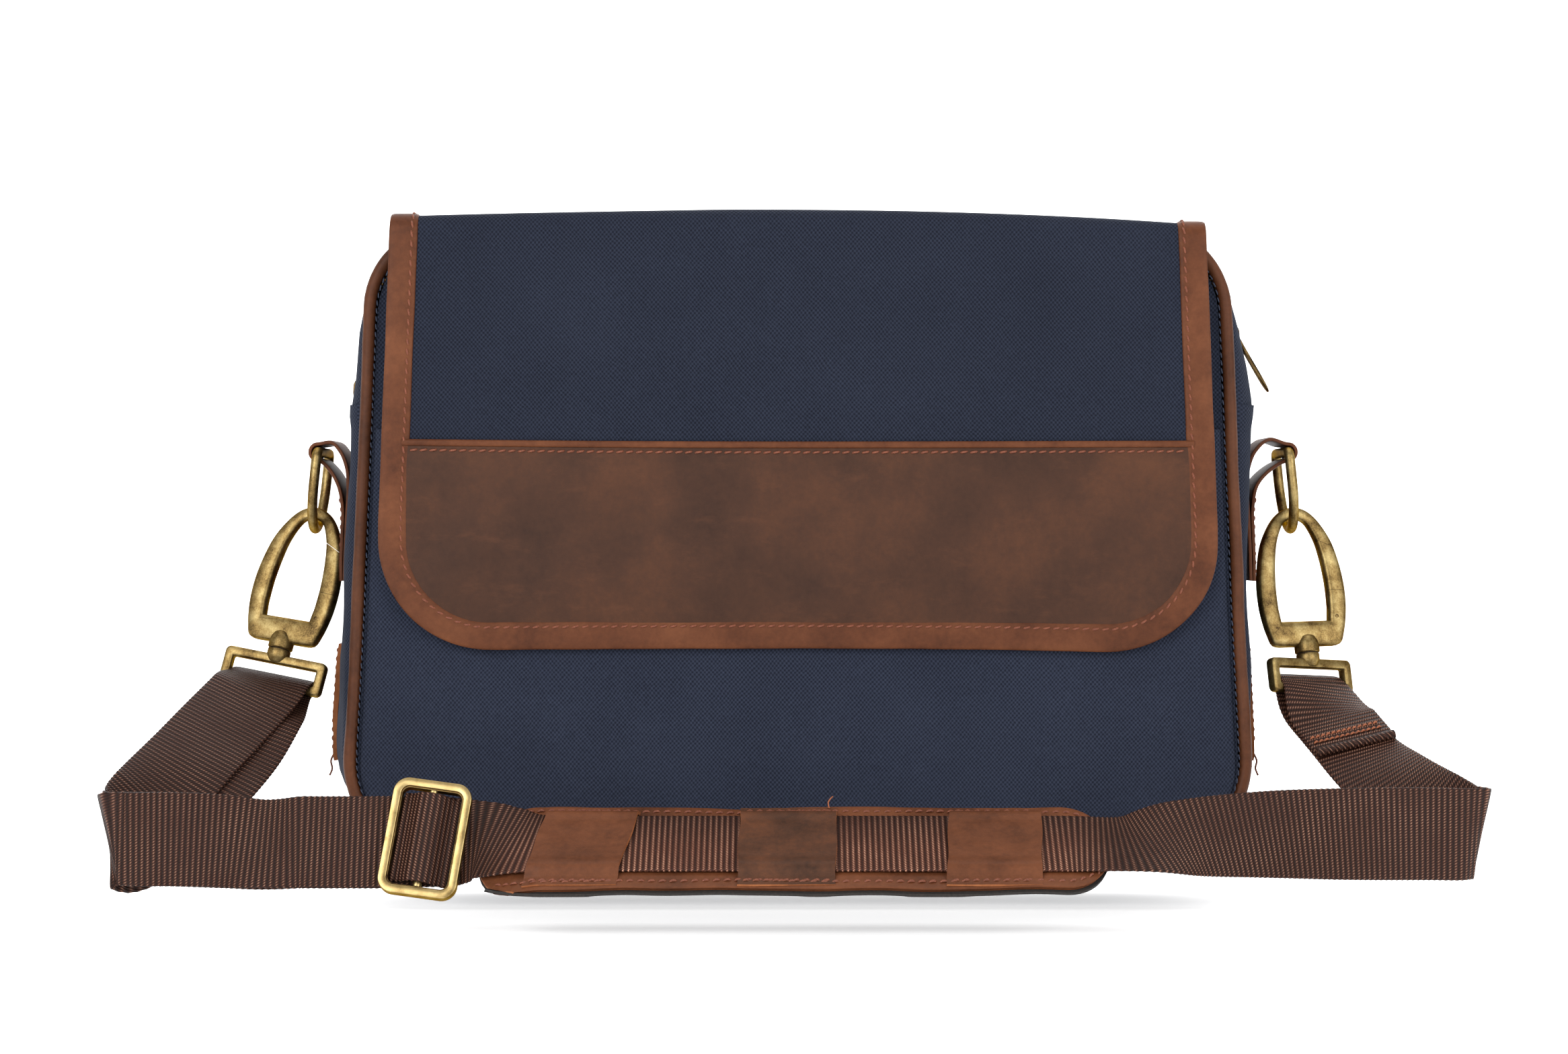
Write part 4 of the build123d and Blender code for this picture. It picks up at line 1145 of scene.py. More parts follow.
def panel_foot(x, inset):
    """s of the panel's lower edge, which follows the flap's rounded corners."""
    radius, w = FLAP_R - inset, FLAP_LOW_HALF - inset
    over = max(0.0, abs(x) - (w - radius))
    return BOTTOM_S - inset - radius + sqrt(max(0.0, radius ** 2 - over ** 2))


def sheet_on_flap(name, xs, s_low, s_high, rows, off, thick, material, falls=None):
    """A sheet on the flap over the columns xs, from s_low(x) to s_high(x)."""
    grid, uv = [], []
    for t in np.linspace(0, 1, rows):
        line, pair = [], []
        for a in xs:
            s0, s1 = s_low(a), s_high(a)
            s = s0 + (s1 - s0) * t
            x = a * flap_half(s) / FLAP_LOW_HALF if falls is None else a
            lift = off + (falls(a, t) if falls else 0.0)
            point, _ = flap_point(x, s, lift)
            line.append(point)
            pair.append((x, s))
        grid.append(line)
        uv.append(pair)
    grid, uv = np.array(grid), np.array(uv)
    return shell(name, grid, thick, material, uv, np.array([0, -0.7, 0.7]))


def flap():
    reach = FLAP_LOW_HALF - 3.0
    xs = np.sin(np.linspace(-pi / 2, pi / 2, 100)) * reach
    # The flap's canvas, front and rear, takes the darker copy: painted shade.
    front = sheet_on_flap(
        "FlapCanvas", xs, lambda x: 0.0, lambda x: panel_top(x) + 6, 90, 0.0, 1.1, CANVAS_FLAP_PAINTED_SHADE,
    )
    blend_front(front, "canvas_navy", "flap_canvas")
    rear = rear_sheet("FlapCanvasRear", xs, 0.0, 1.1, CANVAS_FLAP_PAINTED_SHADE)
    blend_rear(rear, "canvas_navy", "flap_canvas_top")
    inner_xs = np.sin(np.linspace(-pi / 2, pi / 2, 80)) * (FLAP_LOW_HALF - 3.0)
    inner = sheet_on_flap(
        "FlapLining", inner_xs, lambda x: 0.0, lambda x: panel_foot(x, 3.0), 90, -1.5, 0.7, LINING,
    )
    blend_front(inner, "cotton_lining", "flap_lining")
    rear = rear_sheet("FlapLiningRear", xs, -1.5, 0.7, LINING)
    blend_rear(rear, "cotton_lining", "flap_lining_top")


def rear_sheet(name, xs, off, thick, material):
    grid, uv = [], []
    for s in np.linspace(0, -76, 40):
        grid.append([flap_point(a * FLAP_TOP_HALF / FLAP_LOW_HALF, s, off)[0] for a in xs])
        uv.append([(a * FLAP_TOP_HALF / FLAP_LOW_HALF, s) for a in xs])
    return shell(name, np.array(grid), thick, material, np.array(uv), np.array([0, 0.7, 0.7]))


def leather_panel():
    inset = BINDING - 2.0
    reach = FLAP_LOW_HALF - inset
    xs = np.sin(np.linspace(-pi / 2, pi / 2, 110)) * reach

    def crown(a, t):
        return 0.25 * (1 - (2 * t - 1) ** 8)

    made = sheet_on_flap(
        "LeatherPanel", xs, panel_top, lambda x: panel_foot(x, inset), 60, 0.55, 1.4, DARK, crown,
    )
    settle(made, "flap_front", "leather_dark", "flap_leather_panel")
    line, up = on_flap([(x, panel_top(x) + 0.5) for x in np.linspace(-reach, reach, 200)], 0.75)
    t = tangents(line)
    side = np.cross(t, up)
    ring = squircle(16, 1.45, 0.95, 2.4)
    sections = line[:, None] + side[:, None] * ring[None, :, :1] + up[:, None] * ring[None, :, 1:]
    made = loft("PanelTopEdge", sections, TAN)
    settle(made, "flap_front", "leather_tan", "flap_panel_trim")
    pairs = [(x, panel_top(x) + 3.7) for x in np.linspace(-reach + 3, reach - 3, 200)]
    settle(flap_row("PanelStitches", pairs, 0.95, 3.5, 10), "flap_front", "leather_tan")


def back_strip():
    """The leather strip that sews the flap to the back panel."""
    xs = np.linspace(-174.0, 174.0, 120)
    grid = []
    for z in np.linspace(238.5, 271.5, 16):
        rim = 1 - min(1.0, min(z - 238.5, 271.5 - z) / 1.5)
        grid.append([(x, 58.1 - 0.8 * rim + 0.4 * noise.noise(Vector((x / 50, z / 30, 4))), z) for x in xs])
    grid = np.array(grid)
    made = shell("BackStrip", grid, 1.5, TAN, flat_uv(grid), np.array([0, 1, 0]))
    settle(made, "bag", "leather_tan", "flap_back_strip")
    for name, z in (("low", 241.5), ("high", 268.5)):
        line = np.stack([xs, np.full(len(xs), 58.3), np.full(len(xs), z)], 1)
        sew(f"BackStripStitches_{name}", line, (0, 1, 0), RUST_THREAD, "bag", "leather_tan")


# ---------------------------------------------------------------- D-rings and their tabs

RING_BAR = {"left": (-211.146, 179.014), "right": (215.946, 179.014)}


def chape(name, side):
    """A strip of leather, doubled over the D-ring's bar and sewn to the gusset."""
    bx, bz = abs(RING_BAR[name][0]), RING_BAR[name][1]
    near = 199.3
    r = 3.75
    route = [(near + 0.4, 122.5), (near + 0.1, 135), (near - 0.6, 150), (near - 1.2, 163), (near - 0.6, 172)]
    route += [(near + 2.4, 179.5), ((near + bx) / 2, 184.6 if side > 0 else 183.2)]
    route += [(bx + r * cos(radians(a)), bz + r * sin(radians(a))) for a in (100, 60, 20, -20, -60, -95)]
    route += [((near + bx) / 2 + 1.5, 171.8), (near + 3.2, 164.5), (near + 1.3, 155)]
    route += [(near + 1.5, 142), (near + 1.9, 130), (near + 1.9, 122.2)]
    line = curve([(side * x, 0, z) for x, z in route], 0.9)
    t = tangents(line)
    across = np.tile([0.0, 1.0, 0.0], (len(line), 1))
    up = np.cross(across, t)
    ring = squircle(26, 17.6, 0.92, 7.0)
    half = 1 + ripple(line, 14.0, 0.012, 1.0)
    sections = line[:, None] + across[:, None] * (ring[None, :, :1] * half[:, None, None])
    sections = sections + up[:, None] * ring[None, :, 1:]
    made = loft(f"Chape_{name}", sections, TAN)
    settle(made, "bag", "leather_tan", f"chape_{name}")
    zs = np.linspace(124.5, 158, 30)
    x_out = near + np.interp(zs, [122, 130, 142, 155, 164], [2.45, 2.45, 2.05, 1.9, 3.7])
    loop = [(side * a, -14.6, b) for a, b in zip(x_out, zs)]
    loop += [(side * x_out[-1], y, 158.4) for y in np.linspace(-13, 13, 12)]
    loop += [(side * a, 14.6, b) for a, b in zip(x_out[::-1], zs[::-1])]
    loop += [(side * x_out[0], y, 124.6) for y in np.linspace(13, -14, 12)]
    line = np.array(loop)
    look = dict(pitch=3.9, long=3.1)
    sew(f"ChapeStitches_{name}", line, (side, 0, 0), RUST_THREAD, "bag", "leather_tan", **look)


def low_strip(name, side):
    """A leather strip, sewn low on the gusset, with the thread's end hanging out."""
    def rise(z):
        return float(foot_puff(z)) + 0.9 if side < 0 else 0.3

    zs = np.linspace(43.0, 94.5, 24)
    ys = np.linspace(-17.5, 17.5, 20)
    grid = []
    for z in zs:
        x = gusset_half(z) + rise(z) + 1.7 + 0.5 * noise.noise(Vector((z / 12, side, 0)))
        grid.append([(side * (x - 0.5 * (abs(y) / 17.5) ** 6), y, z) for y in ys])
    grid = np.array(grid)
    made = shell(f"LowStrip_{name}", grid, 2.2, TAN, grid[..., 1:], np.array([side, 0, 0]))
    raw_rim(made, (side, 0, 0))
    settle(made, "bag", "leather_tan", f"side_strip_{name}")
    loop = [(y, 45.5) for y in np.linspace(-15, 15, 12)] + [(15, z) for z in np.linspace(47, 91, 20)]
    loop += [(y, 92.3) for y in np.linspace(15, -15, 12)] + [(-15, z) for z in np.linspace(91, 47, 20)]
    line = np.array([(side * (gusset_half(z) + rise(z) + 1.1), y, z) for y, z in loop])
    look = dict(pitch=3.9, long=3.1)
    sew(f"LowStripStitches_{name}", line, (side, 0, 0), RUST_THREAD, "bag", "leather_tan", **look)
    x = gusset_half(43) + rise(43) + 1.6
    tail = [(x, -15, 46), (x + 1.2, -15.6, 43), (x + 0.6, -16.2, 39.5), (x + 1.8, -15.4, 36.5)]
    line = curve([(side * a, b, c) for a, b, c in tail], 0.5)
    made = tube(f"ThreadEnd_{name}", line, 0.42, RUST_THREAD, sides=6)
    settle(made, "bag", "leather_tan")


# ---------------------------------------------------------------- hooks

HOOK = {
    "left": dict(x=-215.7, tilt=13.0, turn=-17.0, lean=14.0, loop=8.0),
    "right": dict(x=220.5, tilt=-4.5, turn=14.0, lean=12.0, loop=21.0),
}
SWING_Z, LINK_Z, BOW_R = 166.2, 151.6, 9.0
OUTER = [
    (0.0, -2.5), (5.9, -1.0), (11.2, 4.0), (16.0, 12.4), (18.5, 20.9), (20.2, 31.9), (20.2, 41.9),
    (18.9, 50.5), (17.2, 56.6),
]
INNER = [
    (0.0, 2.5), (3.3, 3.3), (5.9, 5.6), (9.0, 12.4), (10.9, 20.9), (12.0, 31.9), (12.0, 41.9),
    (11.6, 46.0), (11.3, 48.9),
]
# Radius and height of the turned parts round the swivel.
DOME = [
    (0.4, -54.3), (2.6, -54.7), (4.2, -55.9), (5.1, -57.8), (5.5, -60.2), (5.5, -62.6), (5.1, -63.1),
    (0.4, -63.1),
]
KNUCKLE = [(0.4, -63.5), (4.9, -63.5), (5.1, -63.9), (5.1, -66.2), (4.6, -67.4), (3.4, -69.2), (0.4, -69.6)]
GATE_TOP, GATE_LOW, GATE_GAP = (12.6, 16.4), (35.4, 36.0), 0.16


def hook_place(name):
    h = HOOK[name]
    lean = Matrix.Translation((0, 0, SWING_Z)) @ Matrix.Rotation(radians(-h["lean"]), 4, "X")
    lean = lean @ Matrix.Translation((0, 0, -SWING_Z))
    tilt = Matrix.Translation((h["x"], 0, LINK_Z - BOW_R)) @ Matrix.Rotation(radians(h["tilt"]), 4, "Y")
    tilt = tilt @ Matrix.Translation((0, 0, BOW_R))
    return lean @ tilt @ Matrix.Rotation(radians(h["turn"]), 4, "Z")


def limb_lines():
    """Matching inner and outer points down the right-hand limb, from the apex to the foot."""
    pairs = np.array([(a, 0.0, -b, c, 0.0, -d) for (a, b), (c, d) in zip(INNER, OUTER)])
    fine = []
    p = np.concatenate([pairs[1:2] * [-1, 1, 1, -1, 1, 1], pairs, 2 * pairs[-1:] - pairs[-2:-1]])
    for i in range(1, len(p) - 2):
        a, b, c, d = p[i - 1:i + 3]
        t = np.linspace(0, 1, 14, endpoint=False)[:, None]
        square, cube = 2 * a - 5 * b + 4 * c - d, 3 * b - a - 3 * c + d
        fine.append(0.5 * (2 * b + (c - a) * t + square * t ** 2 + cube * t ** 3))
    fine = np.concatenate(fine + [p[-2:-1]])
    return fine[:, :3], fine[:, 3:]


def thickness(points):
    """The bow is a round wire at its top and a flatter bar below."""
    depth = -points[:, 2]
    return np.interp(depth, [-3, 3, 12, 22], [2.45, 2.5, 2.9, 3.25])


def cut(inner, outer, top, low):
    """The stretch of a limb between two slanting cuts, each given by its inner and outer depth."""
    share = np.arange(len(inner), dtype=float)
    din, dout = -inner[:, 2], -outer[:, 2]

    def at(depth, values):
        first = np.argmax(values >= depth)
        f = (depth - values[first - 1]) / max(values[first] - values[first - 1], 1e-6)
        return share[first - 1] + f

    a0, b0 = (0.0, 0.0) if top is None else (at(top[0], din), at(top[1], dout))
    a1, b1 = (share[-1],) * 2 if low is None else (at(low[0], din), at(low[1], dout))
    steps = 44
    ends = ((inner, a0, a1), (outer, b0, b1))
    return [points_at(line, share, np.linspace(first, last, steps)) for line, first, last in ends]


def limb(name, place, inner, outer):
    """A stretch of the hook's flat bar."""
    return ring_solid(name, place, inner, outer, thickness((inner + outer) / 2), 3.6, ANTIQUE, closed=False)


def lathe(name, place, rows, material, count=28, axis="z"):
    """A turned solid from radius and height pairs along a local axis."""
    turn = np.linspace(0, 2 * pi, count, endpoint=False)
    sections = []
    for radius, height in rows:
        ring = np.stack([radius * np.cos(turn), radius * np.sin(turn), np.full(count, height)], 1)
        if axis == "y":
            ring = ring[:, [0, 2, 1]]
        sections.append(ring)
    stack = np.array(sections)
    return loft(name, local(place, stack.reshape(-1, 3)).reshape(stack.shape), material, sharp=38)


def hook(name):
    place = hook_place(name)
    inner, outer = limb_lines()
    mirror = np.array([-1, 1, 1])
    up_in, up_out = cut(inner, outer, None, GATE_TOP)
    low_in, low_out = cut(inner, outer, GATE_LOW, None)
    left_in, left_out = inner * mirror, outer * mirror
    corner = [(17.2, 56.6), (16.6, 58.2), (15.6, 59.4), (14.0, 60.0), (12.4, 60.2)]
    corner_out = np.array([(x, 0, -d) for x, d in corner])
    corner_in = np.tile([11.3, 0, -48.9], (len(corner), 1))
    xs = np.linspace(11.3, -11.3, 26)
    base_in = np.array([(x, 0, -48.9) for x in xs])
    base_out = np.array([(x * 12.4 / 11.3, 0, -60.2) for x in xs])

    def whole(up, left, turn, base, low):
        stretches = [up[::-1], left[1:], turn[1:] * mirror, base[::-1][1:], turn[::-1][1:], low[::-1][1:]]
        return np.concatenate(stretches)

    run_in = whole(up_in, left_in, corner_in, base_in, low_in)
    run_out = whole(up_out, left_out, corner_out, base_out, low_out)
    bow = limb("bow", place, run_in, run_out)
    dome = lathe("dome", place, DOME, ANTIQUE)
    nodes = (f"hook_frame_{name}", f"gate_spring_{name}")
    merge(f"Hook_{name}", [bow, dome], f"hook_{name}", "brass_antique", *nodes)
    rivet = place @ Matrix.Translation((14.6, 0, -47.4))
    heads = [(0.15, -3.35), (0.8, -3.28), (1.05, -3.1), (1.05, 3.1), (0.8, 3.28), (0.15, 3.35)]
    pin = lathe("pin", rivet, heads, ANTIQUE_DARK, 18, "y")
    ring = lathe("ring", rivet, [(0.2, -3.12), (1.5, -3.1), (1.5, 3.1), (0.2, 3.12)], HOLE, 18, "y")
    merge(f"GatePin_{name}", [pin, ring], f"hook_{name}", "brass_antique", f"gate_pin_{name}")
    top = (GATE_TOP[0] + GATE_GAP, GATE_TOP[1] + GATE_GAP)
    low = (GATE_LOW[0] - GATE_GAP, GATE_LOW[1] - GATE_GAP)
    gate_in, gate_out = cut(inner, outer, top, low)
    bar = limb("bar", place, gate_in, gate_out)
    tongue = round_box("tongue", place, (11.9, -1.1, -46.8), (16.4, 1.1, -34.0), 4, ANTIQUE_DARK)
    merge(f"Gate_{name}", [bar, tongue], f"gate_{name}", "brass_antique", f"hook_gate_{name}")


LOOP_TOP, LOOP_LOW, LOOP_HALF = 67.8, 78.9, 23.6


def rounded_ring(half_x, z0, z1, radius):
    """A rounded rectangle in local x and z."""
    corners = [(half_x, z0), (half_x, z1), (-half_x, z1), (-half_x, z0)]
    ring = rounded(corners, [radius] * 4)
    return np.stack([ring[:, 0], np.zeros(len(ring)), ring[:, 1]], 1)


def strap_loop(name):
    place = hook_place(name) @ Matrix.Rotation(radians(HOOK[name]["loop"]), 4, "Z")
    outer = rounded_ring(LOOP_HALF, -LOOP_LOW - 2.1, -LOOP_TOP + 2.0, 2.4)
    inner = rounded_ring(LOOP_HALF - 4.1, -LOOP_LOW + 2.0, -LOOP_TOP - 2.2, 0.8)
    ring = ring_solid("ring", place, inner, outer, 2.55, 4.2, ANTIQUE)
    knuckle = lathe("knuckle", place, KNUCKLE, ANTIQUE)
    groove = lathe("groove", place, [(0.3, -62.9), (4.2, -62.9), (4.2, -63.7), (0.3, -63.7)], HOLE)
    nodes = (f"strap_loop_{name}", f"swivel_post_{name}")
    merge(f"StrapLoop_{name}", [ring, knuckle, groove], "strap", "brass_antique", *nodes)


# ---------------------------------------------------------------- strap

WEB_HALF, WEB_T = 19.0, 1.6
PAD_EDGE, PAD_LEAN = (-164.0, 8.9), 60.0
SLIDE_EDGE, SLIDE_LEAN = (-146.5, 0.7), 20.0


# Between the pad and the slide the webbing turns upright: x, then its lower edge's y and z, and its lean.
STRAP_TURN = [
    (-104, -164.0, 8.9, 60),
    (-114, -160.8, 7.7, 56),
    (-122, -155.5, 6.0, 49),
    (-129, -150.5, 4.2, 40),
    (-136, -147.3, 2.1, 30),
    (-143, -146.6, 1.0, 23),
    (-150, -146.5, 0.7, 20),
]


def edges_at(upper, lower):
    up, low = np.array(upper, float), np.array(lower, float)
    return np.concatenate([(up + low) / 2, unit(up - low)])


def standing(x, y, z, lean):
    across = np.array([0, sin(radians(lean)), cos(radians(lean))])
    return np.concatenate([np.array([x, y, z]) + across * WEB_HALF, across])


def loop_bar(name):
    place = hook_place(name) @ Matrix.Rotation(radians(HOOK[name]["loop"]), 4, "Z")
    bar = np.array(place @ Vector((0, 0, -LOOP_LOW)))
    across = np.array(place.to_3x3() @ Vector((SIDES[name], 0, 0)))
    return bar, across


def wrap(name, toward, flip, turns, reach=3.1, slack=4.2):
    """Stations round the loop's lower bar, where toward is the way the webbing leaves it."""
    bar, across = loop_bar(name)
    down = toward - bar
    down = unit(down - across * (down @ across))
    out = unit(np.cross(across, down)) * flip
    stations = []
    for a in turns:
        spot = bar + out * reach * sin(radians(a)) - down * (reach + slack) * cos(radians(a))
        stations.append(np.concatenate([spot, across]))
    return stations


RIGHT_RISE = [
    edges_at((247, -27, 69), (216, -44, 57)),
    edges_at((251, -36.5, 63), (220, -53.5, 51)),
    edges_at((255, -46, 57), (224, -63, 45)),
    edges_at((263, -67, 50), (236, -82, 30)),
    edges_at((273, -88, 44), (255, -98, 12)),
    edges_at((282.0, -106, 38.6), (274.5, -105.5, 0.8)),
    edges_at((285.5, -110.5, 38.4), (277.0, -110, 0.7)),
    edges_at((285.2, -115, 38.4), (276.8, -114.5, 0.7)),
    edges_at((280, -118, 38.4), (274, -117.5, 0.7)),
]
FRONT_LINE = [
    standing(258, -119, 0.7, 3),
    standing(225, -126, 1.5, 14),
    standing(190, -138, 3.6, 28),
    standing(160, -150, 5.6, 42),
    standing(136, *PAD_EDGE, PAD_LEAN),
    standing(108, *PAD_EDGE, PAD_LEAN),
    standing(70, *PAD_EDGE, PAD_LEAN),
    standing(0, *PAD_EDGE, PAD_LEAN),
    standing(-60, *PAD_EDGE, PAD_LEAN),
    standing(-94, *PAD_EDGE, PAD_LEAN),
    *[standing(x, y, z, lean) for x, y, z, lean in STRAP_TURN],
    standing(-160, *SLIDE_EDGE, SLIDE_LEAN),
    standing(-180, *SLIDE_EDGE, SLIDE_LEAN),
    standing(-196, *SLIDE_EDGE, SLIDE_LEAN),
    standing(-202, *SLIDE_EDGE, SLIDE_LEAN),
    standing(-209, -146.9, 0.5, 23),
    standing(-217, -146.6, 0.4, 25),
    standing(-232, -144.6, 0.45, 17),
    standing(-252, -143, 0.6, 6),
]
LEFT_RISE = [
    edges_at((-276, -141.5, 38.5), (-268, -142.5, 0.8)),
    edges_at((-283, -138.5, 38.5), (-274.5, -139.5, 0.8)),
    edges_at((-285, -132.5, 38.6), (-276.5, -133.5, 0.8)),
    edges_at((-283, -126, 39.4), (-274, -127.5, 1.6)),
    edges_at((-279, -105, 47), (-259, -113, 15)),
    edges_at((-271, -82, 57), (-242, -93, 36)),
    edges_at((-262, -60, 70), (-230, -70, 50)),
    edges_at((-254, -40, 81), (-220, -50, 62)),
]


# How far the rear layer at the left slips sideways from behind the front one.
REAR_SLIP = (0, 0, 2.0, 5.5, 11.0, 12.5, 11.0, 6.5)


def band(name, stations, half=WEB_HALF):
    """Webbing along stations of a centre and a direction across it, with scalloped edges and real ribs."""
    line = curve(stations, 0.575)
    centre, across = line[:, :3], unit(line[:, 3:])
    t = tangents(centre)
    normal = unit(np.cross(across, t))
    across = unit(np.cross(t, normal))
    run = lengths(centre)
    rib = 0.5 + 0.5 * np.cos(2 * pi * run / 2.3)
    ring = squircle(24, 1.0, 1.0, 6.0)
    half_w = half + 0.22 * (rib - 0.5)
    half_t = WEB_T / 2 * (0.86 + 0.22 * rib)
    cross = across[:, None] * (ring[None, :, :1] * half_w[:, None, None])
    cross = cross + normal[:, None] * (ring[None, :, 1:] * half_t[:, None, None])
    sections = centre[:, None] + cross
    u = np.repeat(run[:, None], 24, 1)
    v = ring[None, :, 0] * half_w[:, None]
    uv = np.stack([u, v], -1).reshape(-1, 2)
    made = loft(name, sections, WEBBING, uv=uv, sharp=70)
    return made, centre, across, normal, run


def strap():
    toward = RIGHT_RISE[0][:3]
    main = wrap("right", toward, 1, (2, 30, 60, 88))
    far = LEFT_RISE[-1][:3]
    end = wrap("left", far, -1, (88, 60, 30, 2))
    behind = [np.concatenate([a[:3] - a[3:] * slip, a[3:]]) for a, slip in zip(LEFT_RISE, REAR_SLIP)]
    stations = main + RIGHT_RISE + FRONT_LINE + behind + end
    made, *_, run = band("StrapWebbing", stations)
    settle(made, "strap", "webbing_brown", "webbing_right", "webbing_left_outer")


def offset_stations(stations, offset):
    line = curve(stations, 4.0)
    centre, across = line[:, :3], unit(line[:, 3:])
    normal = unit(np.cross(across, tangents(centre)))
    return [np.concatenate([c + n * offset, a]) for c, n, a in zip(centre, normal, across)]


def layers():
    """The right end's sewn tab with its hem."""
    toward = RIGHT_RISE[0][:3]
    start = wrap("right", toward, -1, (-4, 30, 60, 90))
    sewn = offset_stations(RIGHT_RISE[:3], TAB_SIDE * 2.0)
    tab, centre, across, normal, run = band("StrapTab", start + sewn[1:])
    settle(tab, "strap", "webbing_brown", "webbing_right_tab")
    tip, across_tip, normal_tip = centre[-1], across[-1], normal[-1] * np.sign(TAB_SIDE)
    roll_line = [tip + across_tip * k * 18.4 + normal_tip * 0.4 for k in np.linspace(-1, 1, 30)]
    roll = tube("HemRoll", np.array(roll_line), 2.0, WEBBING, sides=14)
    add_uv(roll)
    settle(roll, "strap", "webbing_brown")
    for k, back in enumerate((6, 9)):
        c, a, n = centre[-back * 2], across[-back * 2], normal[-back * 2] * np.sign(TAB_SIDE)
        line = np.array([c + a * q * 17.6 + n * 1.05 for q in np.linspace(-1, 1, 20)])
        out = np.tile(n, (20, 1))
        row = stitches(f"TabStitches_{k}", line, out, PALE_THREAD, pitch=2.5, long=2.4, slant=8, radius=0.5)
        settle(row, "strap", "webbing_brown")


def add_uv(made):
    """Ribs across a small roll of webbing, from its own position."""
    data = made.data
    index = np.zeros(len(data.loops), int)
    data.loops.foreach_get("vertex_index", index)
    co = np.array([v.co for v in data.vertices])
    flat = np.stack([co[:, 0] + co[:, 2], co[:, 1]], 1)
    layer = data.uv_layers.new(name="Weave")
    layer.data.foreach_set("uv", flat[index].ravel())


TAB_SIDE = -1.0


def left_layer():
    far = LEFT_RISE[-1][:3]
    run_in = [standing(-150, *SLIDE_EDGE, SLIDE_LEAN)] + FRONT_LINE[-7:] + LEFT_RISE
    inner = offset_stations(run_in, -2.2)
    inner[0][2] -= 1.2
    end = wrap("left", far, 1, (90, 60, 30, -4))
    made, *_, run = band("StrapUnderLayer", inner + end)
    settle(made, "strap", "webbing_brown", "webbing_left_inner")


def slide_frame():
    """The slide's own axes: along the strap, up across it, and out."""
    up = np.array([0, sin(radians(SLIDE_LEAN)), cos(radians(SLIDE_LEAN))])
    out = np.cross([1.0, 0, 0], up)
    turn = radians(-8.0)
    along = np.array([1.0, 0, 0]) * cos(turn) + np.cross(out, [1.0, 0, 0]) * sin(turn)
    cross = np.cross(out, along)
    origin = np.array([-151.0, *SLIDE_EDGE]) + up * WEB_HALF
    m = Matrix.Identity(4)
    for k in range(3):
        m[k][0], m[k][1], m[k][2], m[k][3] = along[k], out[k], cross[k], origin[k]
    return m


def adjuster():
    place = slide_frame()
    shift = place @ Matrix.Translation((0, 3.6, 0))
    outer = rounded_ring(16.1, -24.1, 24.1, 6.4)
    inner = rounded_ring(12.7, -20.7, 20.7, 3.4)
    ring = ring_solid("AdjusterFrame", shift, inner, outer, 2.6, 9.0, SATIN, sharp=30)
    settle(ring, "adjuster", "brass_satin", "adjuster_frame")
    wall_out = rounded_ring(12.9, -20.9, 20.9, 3.4)
    wall_in = rounded_ring(12.1, -20.1, 20.1, 3.0)
    sunk = shift @ Matrix.Translation((0, -0.5, 0))
    wall = ring_solid("AdjusterWall", sunk, wall_in, wall_out, 2.2, 5.0, ANTIQUE_DARK, sharp=40)
    settle(wall, "adjuster", "brass_satin")
    climb = [(11.4, 1.5), (8.6, 2.0), (6.2, 4.2), (4.0, 6.5), (2.0, 7.4)]
    spots = [(-a, b) for a, b in climb] + [(0, 7.7)] + climb[::-1]
    m = np.array(place)
    across = m[:3, 2]
    stations = [np.concatenate([local(place, [(a, b, 0)])[0], across]) for a, b in spots]
    made, *_, run = band("StrapHump", stations, half=18.6)
    settle(made, "adjuster", "webbing_brown", "webbing_hump")


# ---------------------------------------------------------------- shoulder pad

def pad_matrix():
    up = np.array([0, sin(radians(PAD_LEAN)), cos(radians(PAD_LEAN))])
    out = np.cross([1.0, 0, 0], up)
    origin = np.array([0, *PAD_EDGE]) + up * WEB_HALF
    m = Matrix.Identity(4)
    for k in range(3):
        m[k][0], m[k][1], m[k][2], m[k][3] = (1.0, 0.0, 0.0)[k], up[k], out[k], origin[k]
    return m


def on_pad(points):
    """Pad points (along, up the pad, off it) in the bag's frame. Its left end turns with the webbing."""
    flat = np.asarray(points, float).reshape(-1, 3)
    table = np.array(STRAP_TURN[::-1])
    y, z, lean = (np.interp(flat[:, 0], table[:, 0], table[:, k]) for k in (1, 2, 3))
    lean = np.radians(lean)
    up = flat[:, 1] + WEB_HALF
    spots = np.stack([
        flat[:, 0],
        y + up * np.sin(lean) - flat[:, 2] * np.cos(lean),
        z + up * np.cos(lean) + flat[:, 2] * np.sin(lean),
    ], 1)
    spots[:, 2] = np.maximum(spots[:, 2], 0.35 + 0.25 * flat[:, 2] + 1.2)
    return spots.reshape(np.shape(points))


def pad_edge(x):
    """Upper and lower edge of the pad at x, in its own plane: rounded ends, the lower left drawn out."""
    left_up, left_low, right = -123.0, -131.0, 125.5
    half = 28.0

    def end(near, reach):
        t = np.clip(near / reach, 0, 1)
        return sqrt(max(0.0, 1 - (1 - t) ** 2.2))

    up = half * min(end(x - left_up, 22.0), end(right - x, 20.0)) if x > left_up else 0.0
    low = half * min(end(x - left_low, 14.0), end(right - x, 20.0))
    wave = 0.9 * sin(x / 19.0) + 0.6 * sin(x / 8.3 + 1)
    top = up + wave * 0.6 * (up > 20)
    bottom = -low - wave * 0.5 * (low > 20)
    if x <= left_up:
        top = -low * 0.15 - (left_up - x) * 1.2
    return top, bottom


